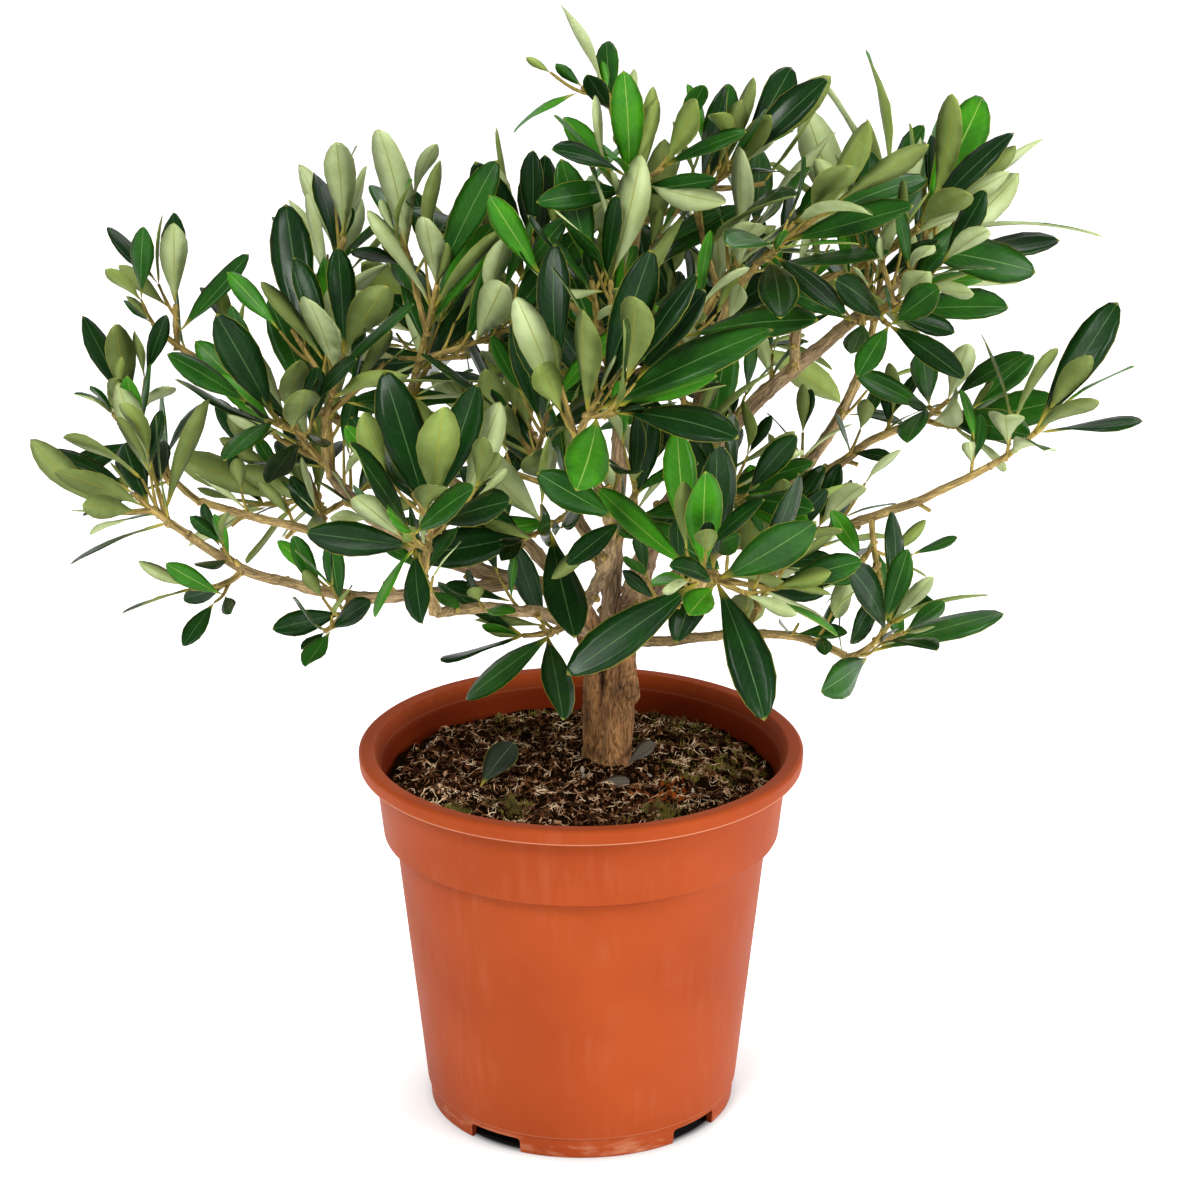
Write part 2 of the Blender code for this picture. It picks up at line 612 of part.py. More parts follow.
def grow(name, stem, taken):
    """A mass's shoots and leaves. One that would leave the mass's space, or touch anything that has
    grown already, is skipped. Those that grow are added to taken."""
    mass = MASSES[name]
    dice = random.Random(mass.seed)
    middle = stem.points[0].lerp(stem.points[-1], 0.55)
    room = 0.55 * mass.reach + ROOM_SHARE * mass.leaf
    shoots = [stem]
    for twig in twigs_of(stem, mass, dice):
        trees = shoot_tree(twig, TWIG_CLEAR_FROM, CLEARANCE), shoot_tree(twig, 0, CLEARANCE)
        centre, radius = spread(twig.points)
        if clear(trees, centre, radius + CLEARANCE + TWIG_THICK, name, taken):
            shoots.append(twig)
            taken.append(shoot_body(name, twig))
    leaves = []
    for shoot in shoots:
        for leaf in leaves_of(shoot, mass, dice):
            tip = leaf_point(leaf, 1)
            low = min(tip.z, leaf_point(leaf, 0.6).z)
            outside = (tip - middle).length > room or abs(tip.y) > CROWN_DEPTH / 2
            if outside or low < LOWEST_LEAF:
                continue
            trees = slab_tree(leaf, SIBLING_START, CLEARANCE), slab_tree(leaf, STRANGER_START, CLEARANCE)
            centre = leaf_point(leaf, 0.5)
            radius = leaf.length / 2 + 2 * CLEARANCE
            if clear(trees, centre, radius, name, taken):
                leaves.append(leaf)
                taken.append(Body(name, centre, radius, slab_tree(leaf, SIBLING_START, 0)))
    return shoots, leaves


def leaf_bmesh(leaf):
    """A faceted leaf: a flat outline from root to tip, with a point over and under its broadest part."""
    bm = bmesh.new()
    right, left = (
        [
            bm.verts.new(leaf_point(leaf, share, side * width * leaf.width / 2))
            for share, width in LEAF_SHOULDERS
        ]
        for side in (1, -1)
    )
    root = bm.verts.new(leaf_point(leaf, -ROOT_DEPTH / leaf.length))
    outline = [root, *right, bm.verts.new(leaf_point(leaf, 1)), *reversed(left)]
    above, below = (bm.verts.new(leaf_point(leaf, RIDGE, 0, side * LEAF_THICK / 2)) for side in (1, -1))
    for a, b in zip(outline, outline[1:] + outline[:1]):
        bm.faces.new((a, b, above))
        bm.faces.new((b, a, below))
    return bm


def make_mass(name, shoots, leaves):
    """One solid of a mass's stem, twigs and leaves."""
    pieces = [make_object(f"{name}_twig", limb_tube(shoot, TWIG_SIDES), WOOD) for shoot in shoots]
    pieces += [make_object(f"{name}_leaf", leaf_bmesh(leaf), LEAF_GREEN) for leaf in leaves]
    mass = pieces[0]
    mass.name = name
    mass.data.name = name
    if len(pieces) > 1:
        apply_boolean(mass, pieces[1:], "UNION")
    return mass


def main():
    for old in list(bpy.data.objects):
        bpy.data.objects.remove(old)
    make_pot()
    make_soil()
    routes = route_limbs()
    make_trunk(routes)
    make_boughs(routes)
    stems = {name: stem_of(mass, routes) for name, mass in MASSES.items()}
    taken = first_bodies(routes, stems)
    for name, stem in stems.items():
        make_mass(name, *grow(name, stem, taken))


if __name__ == "__main__":
    main()
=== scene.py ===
"""Olive bonsai in a moulded plastic pot: the fine growth and the finish of every surface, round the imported
frame. Sizes are in millimetres, as in the part's source, and each mesh is turned to metres when it is made.
+X is to the right, +Y to the back, +Z up, and the origin is under the middle of the pot."""

import json
import math
import random
from collections import namedtuple

import bmesh
import bpy
from mathutils import Euler, Matrix, Quaternion, Vector, noise
from mathutils.bvhtree import BVHTree
from mathutils.geometry import interpolate_bezier

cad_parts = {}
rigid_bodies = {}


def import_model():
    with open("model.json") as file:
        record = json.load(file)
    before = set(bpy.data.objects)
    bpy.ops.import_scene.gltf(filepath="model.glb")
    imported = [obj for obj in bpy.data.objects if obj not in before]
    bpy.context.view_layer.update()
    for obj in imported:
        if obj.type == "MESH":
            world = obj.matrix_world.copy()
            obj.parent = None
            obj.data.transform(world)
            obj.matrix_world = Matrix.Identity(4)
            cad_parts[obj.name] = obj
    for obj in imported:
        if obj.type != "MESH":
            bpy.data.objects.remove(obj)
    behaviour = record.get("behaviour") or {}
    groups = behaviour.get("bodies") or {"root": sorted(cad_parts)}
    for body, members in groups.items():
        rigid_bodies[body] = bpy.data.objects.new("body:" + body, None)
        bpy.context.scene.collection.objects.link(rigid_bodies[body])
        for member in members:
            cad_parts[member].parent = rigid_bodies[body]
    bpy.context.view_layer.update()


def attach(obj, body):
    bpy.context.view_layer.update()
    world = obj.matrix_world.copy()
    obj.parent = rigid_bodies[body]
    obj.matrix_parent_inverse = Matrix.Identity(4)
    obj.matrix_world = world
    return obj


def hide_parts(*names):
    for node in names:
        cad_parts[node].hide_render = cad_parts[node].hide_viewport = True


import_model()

# ---------------------------------------------------------------- camera, light and floor
# A long lens looks a little down on the plant. It stands on a light table in a white room, whose walls are
# bright low down and dimmer overhead, with three broad soft lights: front left, front right and behind.

METRES = 0.001
CAMERA_AIM = Vector((8.1, 0, 228.6))
CAMERA_DISTANCE = 1500.0
CAMERA_PITCH = 0.342  # radians down from level
CAMERA_LENS = 106.8
SENSOR = 36.0
FLOOR_SIZE = 12000.0
WALL_LIGHT = 1.0
CEILING_LIGHT = 0.32
WALL_UP_TO = 0.08  # the upward part of a direction where the wall's light ends
CEILING_FROM = 0.35
TABLE_GLOW = 0.8
# the board's colour and glow at so many metres from the middle: painted shadow, a black disc under the foot
# and a grey ring round it
PAINTED_SHADOW_BOARD = [(0.0635, "#000000"), (0.067, "#c6c6c6"), (0.112, "#f0f0f0")]
# each soft source: place, width in mm, power in watts
SOFT_LIGHTS = {
    "key_light": ((-600, -1500, 1800), 700, 33),
    "fill_light": ((1600, -900, 900), 800, 24),
    "back_light": ((700, 1500, 1700), 1000, 10),
}


def linear(hex_code):
    """An sRGB hex value as the linear colour that a shader takes."""
    parts = (int(hex_code[i : i + 2], 16) / 255 for i in (1, 3, 5))
    return (*(p / 12.92 if p <= 0.04045 else ((p + 0.055) / 1.055) ** 2.4 for p in parts), 1)


def feed(made, inputs):
    """Gives a node its inputs: values, sockets to link, or whole nodes, whose first output in use is linked.
    MapRange's are numbered 0 the value, 1 and 2 its range, 3 and 4 the range that it is mapped to. A colour
    Mix's are 0 the share, 6 and 7 the two colours."""
    for key, value in inputs.items():
        if isinstance(value, bpy.types.Node):
            value = next(output for output in value.outputs if output.enabled)
        if isinstance(value, bpy.types.NodeSocket):
            made.id_data.links.new(value, made.inputs[key])
        else:
            made.inputs[key].default_value = value


def node(tree, kind, inputs=None, stops=None, **settings):
    """Adds a shader node with its settings, its inputs and its colour stops."""
    made = tree.nodes.new("ShaderNode" + kind)
    for name, value in settings.items():
        setattr(made, name, value)
    feed(made, inputs or {})
    for i, (place, shade) in enumerate(stops or []):
        ramp = made.color_ramp.elements
        stop = ramp[i] if i < 2 else ramp.new(place)
        stop.position = place
        stop.color = linear(shade)
    return made


def finish(name, **sockets):
    """A new material and its tree and shader. The sockets are values that are the same all over it."""
    made = bpy.data.materials.new(name)
    made.use_nodes = True
    shader = made.node_tree.nodes["Principled BSDF"]
    for socket, value in sockets.items():
        shader.inputs[socket.replace("_", " ")].default_value = value
    return made, made.node_tree, shader


def piece(name, bm, *materials):
    """An object in metres, made from a bmesh in millimetres."""
    bmesh.ops.scale(bm, vec=(METRES,) * 3, verts=bm.verts)
    mesh = bpy.data.meshes.new(name)
    bm.to_mesh(mesh)
    bm.free()
    for material in materials:
        mesh.materials.append(material)
    made = bpy.data.objects.new(name, mesh)
    bpy.context.scene.collection.objects.link(made)
    return made


camera = bpy.data.objects.new("camera", bpy.data.cameras.new("camera"))
camera.data.lens = CAMERA_LENS
camera.data.sensor_width = SENSOR
backwards = Vector((0, -math.cos(CAMERA_PITCH), math.sin(CAMERA_PITCH)))
camera.location = (CAMERA_AIM + CAMERA_DISTANCE * backwards) * METRES
camera.rotation_euler = (math.pi / 2 - CAMERA_PITCH, 0, 0)
bpy.context.scene.collection.objects.link(camera)
bpy.context.scene.camera = camera

for light_name, (place, width, power) in SOFT_LIGHTS.items():
    light = bpy.data.objects.new(light_name, bpy.data.lights.new(light_name, "AREA"))
    light.data.size = width * METRES
    light.data.energy = power
    light.location = Vector(place) * METRES
    light.rotation_euler = (CAMERA_AIM - Vector(place)).to_track_quat("-Z", "Y").to_euler()
    bpy.context.scene.collection.objects.link(light)

# White walls all round, brightest low down, under a dimmer ceiling.
room = bpy.data.worlds.new("white room")
room.use_nodes = True
tree = room.node_tree
facing = node(tree, "TexCoord").outputs["Generated"]
upward = node(tree, "SeparateXYZ", {0: facing}).outputs["Z"]
wall = node(tree, "MapRange", {0: upward, 1: WALL_UP_TO, 2: CEILING_FROM, 3: WALL_LIGHT, 4: CEILING_LIGHT})
feed(tree.nodes["Background"], {"Color": (1, 1, 1, 1), "Strength": wall})
bpy.context.scene.world = room
# the colours below are shown as they are given, with no film curve over them
bpy.context.scene.view_settings.view_transform = "Standard"

# A light table of white acrylic, glowing as if lit from below all round where the pot stands. Near the pot
# its colour and glow fall to grey, a painted soft shadow, and under the foot to black, a painted shadow.
white_board, tree, shader = finish(
    "white acrylic, glowing, with a painted shadow round the pot", Roughness=0.9, Emission_Strength=TABLE_GLOW
)
spot = node(tree, "TexCoord").outputs["Object"]
from_middle = node(tree, "VectorMath", {0: spot}, operation="LENGTH")
# painted shadow: the board's colour and glow, darker near the pot and black under its foot
board = node(tree, "ValToRGB", {0: from_middle}, PAINTED_SHADOW_BOARD)
feed(shader, {"Base Color": board, "Emission Color": board})
floor_bm = bmesh.new()
bmesh.ops.create_grid(floor_bm, x_segments=1, y_segments=1, size=FLOOR_SIZE / 2)
floor = piece("floor", floor_bm, white_board)

# ---------------------------------------------------------------- pot
# The common nursery pot: terracotta-coloured polypropylene, injection moulded in one piece, with a rolled
# lip, a deep collar, a tapering wall and a foot ring with four drain notches.

POT_HEIGHT = 163.4
LIP_RADIUS = 95.0
LIP_OPENING = 88.4
LIP_HEIGHT = 6.4
COLLAR_TOP = 88.4
COLLAR_BOTTOM = 84.8
COLLAR_FOOT = 125.5
WALL_TOP = 79.8
WALL_FOOT = 67.7
WALL = 1.8
POT_FLOOR = 3.0
FOOT_HEIGHT = 9.7
FOOT_TOP = 66.8
FOOT_BOTTOM = 66.2
FOOT_WALL = 3.0
POT_STEPS = 160
CORNER_STEPS = 4
NOTCH_CENTRES = (-34, 47.5, 138, 228)  # degrees round from the front
NOTCH_WIDTH = 22.0  # in degrees too
NOTCH_HEIGHT = 6.8
NOTCH_ROUNDING = 1.5
DRAIN_RADIUS = 5.0
DRAIN_CIRCLE = 50.0
DRAIN_STEPS = 28
DRAIN_CUTTER = 12.0
CREASE = math.radians(32)
LIP_BOTTOM = POT_HEIGHT - LIP_HEIGHT
STEP_BELOW_LIP = 2.4  # where the collar steps out a little
# the mould's parting lines along the edges, painted paler as painted highlights where the edges catch the
# light: height, and how pale
PARTING_LINE_HIGHLIGHTS = ((LIP_BOTTOM + 0.2, 0.5), (LIP_BOTTOM - STEP_BELOW_LIP, 0.2), (FOOT_HEIGHT, 0.3))
PARTING_HIGHLIGHT_WIDTH = 0.35  # half the width of one


def rounded(corners):
    """A profile of (radius, height) points from corners (radius, height, size of rounding)."""
    profile = []
    for i, (radius, height, size) in enumerate(corners):
        corner = Vector((radius, height))
        if not size:
            profile.append(corner)
            continue
        ends = [
            corner + size * (Vector(corners[(i + step) % len(corners)][:2]) - corner).normalized()
            for step in (-1, 1)
        ]
        a, b = ends
        profile += interpolate_bezier(a, a.lerp(corner, 0.55), b.lerp(corner, 0.55), b, CORNER_STEPS + 1)
    return profile


def lathe(profile, steps):
    """A closed profile of (radius, height) points, spun round Z, with faces that point outwards."""
    bm = bmesh.new()
    corners = [bm.verts.new((radius, 0, height)) for radius, height in profile]
    loop = [bm.edges.new((a, b)) for a, b in zip(corners, corners[1:] + corners[:1])]
    bmesh.ops.spin(
        bm, geom=corners + loop, cent=(0, 0, 0), axis=(0, 0, 1), angle=math.tau, steps=steps, use_merge=True
    )
    bmesh.ops.remove_doubles(bm, verts=bm.verts, dist=0.01)
    axis_edges = [e for e in bm.edges if all(math.hypot(*v.co.xy) < 0.01 for v in e.verts)]
    bmesh.ops.delete(bm, geom=axis_edges, context="EDGES")
    bmesh.ops.holes_fill(bm, edges=[e for e in bm.edges if e.is_boundary], sides=0)
    bmesh.ops.recalc_face_normals(bm, faces=bm.faces)
    return bm


def cut(target, cutters):
    """Cuts an object with others, which are removed."""
    for cutter in cutters:
        modifier = target.modifiers.new("cut", "BOOLEAN")
        modifier.operation = "DIFFERENCE"
        modifier.solver = "EXACT"
        modifier.object = cutter
    bpy.context.view_layer.update()
    graph = bpy.context.evaluated_depsgraph_get()
    made = bpy.data.meshes.new_from_object(target.evaluated_get(graph))
    target.modifiers.clear()
    target.data = made
    for cutter in cutters:
        bpy.data.objects.remove(cutter)


def smooth_by_angle(made, angle):
    """Smooth shading, but for edges sharper than an angle."""
    made.data.polygons.foreach_set("use_smooth", [True] * len(made.data.polygons))
    made.data.set_sharp_from_angle(angle=angle)


# Moulded polypropylene: satin, a little waxy, with a fine orange-peel skin from the mould. It has faint
# upright streaks and chalky smears round the foot. Pale lines at the mould's parting lines are painted
# highlights, and its inside is darkened as painted shade.
polypropylene, tree, shader = finish(
    "polypropylene, moulded, terracotta", Specular_IOR_Level=0.08, Specular_Tint=linear("#ffb080")
)
spot = node(tree, "TexCoord").outputs["Object"]
tone = node(tree, "TexNoise", {"Vector": spot, "Scale": 18.0, "Detail": 3.0})
pigment = node(tree, "ValToRGB", {0: tone}, [(0.35, "#98401e"), (0.65, "#a24721")])
strokes = node(tree, "Mapping", {0: spot, "Scale": (260, 260, 24)})
scuff = node(tree, "TexNoise", {"Vector": strokes, "Scale": 1.0, "Detail": 5.0})
rubbed = node(tree, "MapRange", {0: scuff, 1: 0.45, 2: 0.75, 3: 0.0, 4: 0.08})
patches = node(tree, "TexNoise", {"Vector": spot, "Scale": 30.0, "Detail": 2.0})
worn = node(tree, "MapRange", {0: patches, 1: 0.5, 2: 0.65})
marks = node(tree, "Math", {0: rubbed, 1: worn}, operation="MULTIPLY")
height = node(tree, "SeparateXYZ", {0: spot}).outputs["Z"]
low = node(tree, "MapRange", {0: height, 1: FOOT_HEIGHT * METRES, 2: 0.6 * FOOT_HEIGHT * METRES})
smears = node(tree, "Mapping", {0: spot, "Scale": (90, 90, 320)})
chalk = node(tree, "TexNoise", {"Vector": smears, "Scale": 1.0, "Detail": 4.0})
chalky = node(tree, "MapRange", {0: chalk, 1: 0.48, 2: 0.74, 3: 0.0, 4: 0.5})
dusty = node(tree, "Math", {0: chalky, 1: low}, operation="MULTIPLY")
wear_and_highlights = node(tree, "Math", {0: marks, 1: dusty}, operation="MAXIMUM")
# painted highlights: pale lines under the lip, at the step below it and at the foot
for level, paleness in PARTING_LINE_HIGHLIGHTS:
    line = node(tree, "Math", {0: height, 1: level * METRES, 2: PARTING_HIGHLIGHT_WIDTH * METRES}, operation="COMPARE")
    pale = node(tree, "Math", {0: line, 1: paleness}, operation="MULTIPLY")
    wear_and_highlights = node(tree, "Math", {0: wear_and_highlights, 1: pale}, operation="MAXIMUM")
skin = node(tree, "Mix", {0: wear_and_highlights, 6: pigment, 7: linear("#cf9474")}, data_type="RGBA")
# faces that look in towards the pot's axis are darkened: painted shade on the inside wall
facing = node(tree, "NewGeometry").outputs["Normal"]
outwards = node(tree, "VectorMath", {0: facing, 1: spot}, operation="DOT_PRODUCT")
inside = node(tree, "MapRange", {0: outwards, 1: 0.0, 2: -0.02})
inside_painted_shade = node(tree, "Mix", {0: inside, 6: skin, 7: linear("#74280f")}, data_type="RGBA")
gloss = node(tree, "MapRange", {0: patches, 1: 0.3, 2: 0.7, 3: 0.46, 4: 0.58})
peel = node(tree, "TexNoise", {"Vector": spot, "Scale": 900.0, "Detail": 2.0})
dimple = node(tree, "Bump", {"Height": peel, "Strength": 0.25, "Distance": 0.0001})
feed(shader, {"Base Color": inside_painted_shade, "Roughness": gloss, "Normal": dimple})

pot_corners = [
    (FOOT_BOTTOM - FOOT_WALL, 0, 0.4),
    (FOOT_BOTTOM, 0, 0.8),
    (FOOT_TOP, FOOT_HEIGHT - 0.5, 0.2),
    (WALL_FOOT, FOOT_HEIGHT, 0.3),
    (WALL_TOP, COLLAR_FOOT - 1.6, 0.5),
    (COLLAR_BOTTOM, COLLAR_FOOT, 0.8),
    (COLLAR_TOP - 0.35, LIP_BOTTOM - STEP_BELOW_LIP - 0.2, 0.15),
    (COLLAR_TOP, LIP_BOTTOM - STEP_BELOW_LIP, 0.15),
    (COLLAR_TOP, LIP_BOTTOM, 0.6),
    (LIP_RADIUS - 0.3, LIP_BOTTOM - 0.2, 0.4),
    (LIP_RADIUS, POT_HEIGHT - 1.1, 0.5),
    (LIP_RADIUS - 1.3, POT_HEIGHT, 0.5),
    (LIP_OPENING, POT_HEIGHT - 0.2, 0.6),
    (COLLAR_TOP - 2 * WALL, LIP_BOTTOM - WALL, 1.2),
    (COLLAR_BOTTOM - WALL, COLLAR_FOOT + WALL, 0.8),
    (WALL_TOP - WALL, COLLAR_FOOT, 0.8),
    (WALL_FOOT - WALL, FOOT_HEIGHT + POT_FLOOR, 1.0),
    (0, FOOT_HEIGHT + POT_FLOOR, 0),
    (0, FOOT_HEIGHT, 0),
    (FOOT_BOTTOM - FOOT_WALL, FOOT_HEIGHT, 0.6),
]
pot = piece("pot_shell", lathe(rounded(pot_corners), POT_STEPS), polypropylene)
cutters = []
for centre in NOTCH_CENTRES:
    turn = Matrix.Rotation(math.radians(centre), 4, "Z")
    notch_width = 2 * FOOT_BOTTOM * math.sin(math.radians(NOTCH_WIDTH / 2))
    sides = Matrix.Diagonal((notch_width, 4 * FOOT_WALL, 2 * NOTCH_HEIGHT, 1))
    notch_bm = bmesh.new()
    notch_at = turn @ Matrix.Translation((0, -FOOT_BOTTOM, 0)) @ sides
    bmesh.ops.create_cube(notch_bm, size=1, matrix=notch_at)
    corners = [e for e in notch_bm.edges if all(v.co.z > 0 for v in e.verts)]
    bmesh.ops.bevel(
        notch_bm,
        geom=corners,
        offset=NOTCH_ROUNDING,
        affect="EDGES",
        segments=3,
        profile=0.5,
        material=-1,
    )
    cutters.append(piece("notch_cutter", notch_bm))
    drain_bm = bmesh.new()
    drain_at = turn @ Matrix.Translation((0, -DRAIN_CIRCLE, FOOT_HEIGHT + POT_FLOOR / 2))
    bmesh.ops.create_cone(
        drain_bm,
        cap_ends=True,
        segments=DRAIN_STEPS,
        radius1=DRAIN_RADIUS,
        radius2=DRAIN_RADIUS,
        depth=DRAIN_CUTTER,
        matrix=drain_at,
    )
    cutters.append(piece("drain_cutter", drain_bm))
cut(pot, cutters)
smooth_by_angle(pot, CREASE)
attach(pot, "root")
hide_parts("pot")

# ---------------------------------------------------------------- peat
# Loose fibrous peat compost that fills the pot to just under its lip. It is poured in and settles in lumps
# and hollows: dark, brown and tan crumbs, a few white grains, and a patch stained with rust.

PEAT_TOP = 151.0
PEAT_GAP = 0.4
PEAT_RINGS = 74
PEAT_STEPS = 230
PEAT_EDGE = COLLAR_BOTTOM - WALL - PEAT_GAP
TRUNK_FOOT = Vector((11, 13, PEAT_TOP + 0.3))
RUST_PATCH = (Vector((35, -25)), 16.0)
TRUNK_CLEAR = 12.0  # nothing small lies nearer than this to the trunk's middle
LUMPS = ((2.6, 17), (1.7, 6.5), (0.9, 2.3))  # how high and how wide
# how deep and how wide, where the noise is taken, and the least of it that shows
HOLLOWS = ((2.6, 9, (40, 0, 0), 0), (3.4, 4.2, (0, 90, 0), 0.15))
SETTLED = 0.6
MOUND_HEIGHT = 2.2
MOUND_WIDTH = 26
SHOULDER_FROM = 70
SHOULDER_DROP = 3.0


def peat_height(x, y):
    """The height of the peat's surface, with its lumps, hollows and the low mound round the trunk."""
    place = Vector((x, y, 0))
    rise = sum(high * noise.noise(place / wide) for high, wide in LUMPS)
    for deep, wide, apart, least in HOLLOWS:
        rise -= deep * max(0, noise.noise(place / wide + Vector(apart)) - least)
    from_trunk = (x - TRUNK_FOOT.x) ** 2 + (y - TRUNK_FOOT.y) ** 2
    mound = MOUND_HEIGHT * math.exp(-(from_trunk / MOUND_WIDTH**2))
    shoulder = SHOULDER_DROP * max(0, (place.length - SHOULDER_FROM) / (PEAT_EDGE - SHOULDER_FROM))
    return PEAT_TOP - SETTLED + rise + mound - shoulder


peat_finishes = {}
for peat_name, dark, light in (
    ("peat, nearly black, partly painted shade", "#050302", "#25160b"),
    ("peat crumb, brown", "#22120a", "#744a2e"),
    ("peat crumb, dry tan", "#7d5336", "#deb188"),
    ("perlite grain, white", "#98907f", "#c9c2b3"),
    ("peat stained with rust", "#4a200c", "#a8531f"),
):
    # Loose organic crumbs with no gloss at all; the darkest, which also cover the bare bed, are nearly black:
    # partly the damp peat's own colour, partly painted shade in the hollows between crumbs.
    made, tree, shader = finish(peat_name, Roughness=0.95, Specular_IOR_Level=0.0)
    spot = node(tree, "TexCoord").outputs["Object"]
    grit = node(tree, "TexNoise", {"Vector": spot, "Scale": 420.0, "Detail": 6.0, "Roughness": 0.7})
    shade = node(tree, "ValToRGB", {0: grit}, [(0.36, dark), (0.66, light)])
    crumb = node(tree, "Bump", {"Height": grit, "Strength": 0.9, "Distance": 0.0012})
    feed(shader, {"Base Color": shade, "Normal": crumb})
    peat_finishes[peat_name] = made

bed_profile = [
    (0, FOOT_HEIGHT + POT_FLOOR + PEAT_GAP),
    (WALL_FOOT - WALL - PEAT_GAP, FOOT_HEIGHT + POT_FLOOR + PEAT_GAP),
    (WALL_TOP - WALL - PEAT_GAP, COLLAR_FOOT - 1),
    (PEAT_EDGE, COLLAR_FOOT + 2 * WALL),
]
bed_profile += [(PEAT_EDGE * (1 - i / PEAT_RINGS), PEAT_TOP) for i in range(PEAT_RINGS)] + [(0, PEAT_TOP)]
bed_bm = lathe(bed_profile, PEAT_STEPS)
for v in bed_bm.verts:
    if v.co.z > PEAT_TOP - 1:
        v.co.z = peat_height(v.co.x, v.co.y)
for face in bed_bm.faces:
    face.smooth = True
# the bare peat between the crumbs is nearly black, partly painted shade in its hollows
bed = piece("peat_bed", bed_bm, peat_finishes["peat, nearly black, partly painted shade"])
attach(bed, "root")
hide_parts("soil")

CRUMBS = 7500
CRUMB_BATCH = 150
CRUMB_SIZE = (0.32, 1.35)
CRUMB_GAPS = -0.12  # below this much noise the peat is bare
LARGE_CRUMB = 0.8


def gather(target, source):
    """Adds a small bmesh to a large one, and frees it."""
    mesh = bpy.data.meshes.new("gathered")
    source.to_mesh(mesh)
    source.free()
    target.from_mesh(mesh)
    bpy.data.meshes.remove(mesh)


def peat_place(dice, edge=3.0):
    """A random place on the peat, clear of the trunk."""
    while True:
        reach = (PEAT_EDGE - edge) * math.sqrt(dice.random())
        turn = dice.uniform(0, math.tau)
        place = Vector((reach * math.cos(turn), reach * math.sin(turn)))
        if (place - TRUNK_FOOT.xy).length > TRUNK_CLEAR:
            return place


# the vector noise that roughens the crumbs and sways the boughs has a seed of its own, set once
noise.seed_set(11)
dice = random.Random(11)
crumbs_bm = bmesh.new()
for _ in range(CRUMBS // CRUMB_BATCH):
    batch = bmesh.new()
    for _ in range(CRUMB_BATCH):
        place = peat_place(dice)
        if noise.noise(Vector((place.x, place.y, 60)) / 7) < CRUMB_GAPS * dice.uniform(0.6, 1.4):
            continue
        size = CRUMB_SIZE[0] + (CRUMB_SIZE[1] - CRUMB_SIZE[0]) * dice.random() ** 2.4
        shape = Vector((dice.uniform(0.7, 2.2), dice.uniform(0.5, 1.1), dice.uniform(0.4, 0.8))) * size
        turn = Euler([dice.uniform(0, math.tau) for _ in range(3)]).to_matrix().to_4x4()
        at = Matrix.Translation((place.x, place.y, peat_height(*place) + 0.3 * size))
        lump = bmesh.ops.create_icosphere(
            batch, subdivisions=1, radius=1, matrix=at @ turn @ Matrix.Diagonal((*shape, 1))
        )
        for v in lump["verts"]:
            v.co += 0.3 * size * noise.noise_vector(v.co / size)
        rusty = (place - RUST_PATCH[0]).length < RUST_PATCH[1] * dice.uniform(0.5, 1)
        mix = (46, 48, 5 if size > LARGE_CRUMB else 22, 1)  # of dark, brown, tan and white crumbs
        kind = 4 if rusty else dice.choices((0, 1, 2, 3), mix)[0]
        for face in {f for v in lump["verts"] for f in v.link_faces}:
            face.material_index = kind
    gather(crumbs_bm, batch)
crumbs = piece("peat_crumbs", crumbs_bm, *peat_finishes.values())
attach(crumbs, "root")

# ---------------------------------------------------------------- trunk
# Two stems that have grown together in one short olive trunk, with a seam between them and a burl where an
# old cut has healed over. Its thin brown bark is split in fine upright fibres.

Shoot = namedtuple("Shoot", "points radii")
Limb = namedtuple("Limb", "parent share heads tip enters thick")

GAP = 0.3
LIMB_STEPS = 6
CURVE_HANDLE = 0.36
ROOT_FLARE = 1.1
BARK_VOXEL = 0.75
GRAIN_STRETCH = 5.0  # how much longer than wide the bark's fibres are
BARK_STEP = 1.4

TRUNK_LIMBS = {
    "trunk": Limb(None, 0, (0.05, 0, 1), (10, 12, 206), (-0.1, 0, 1), (21.5, 19)),
    "left_arm": Limb("trunk", 0.62, (-0.4, -0.2, 1), (-4, 2, 231), (-0.45, -0.2, 0.8), (15, 9)),
    "right_arm": Limb("trunk", 0.55, (0.5, 0.0, 1), (23, 13, 226), (0.5, 0.05, 0.9), (17, 11)),
}

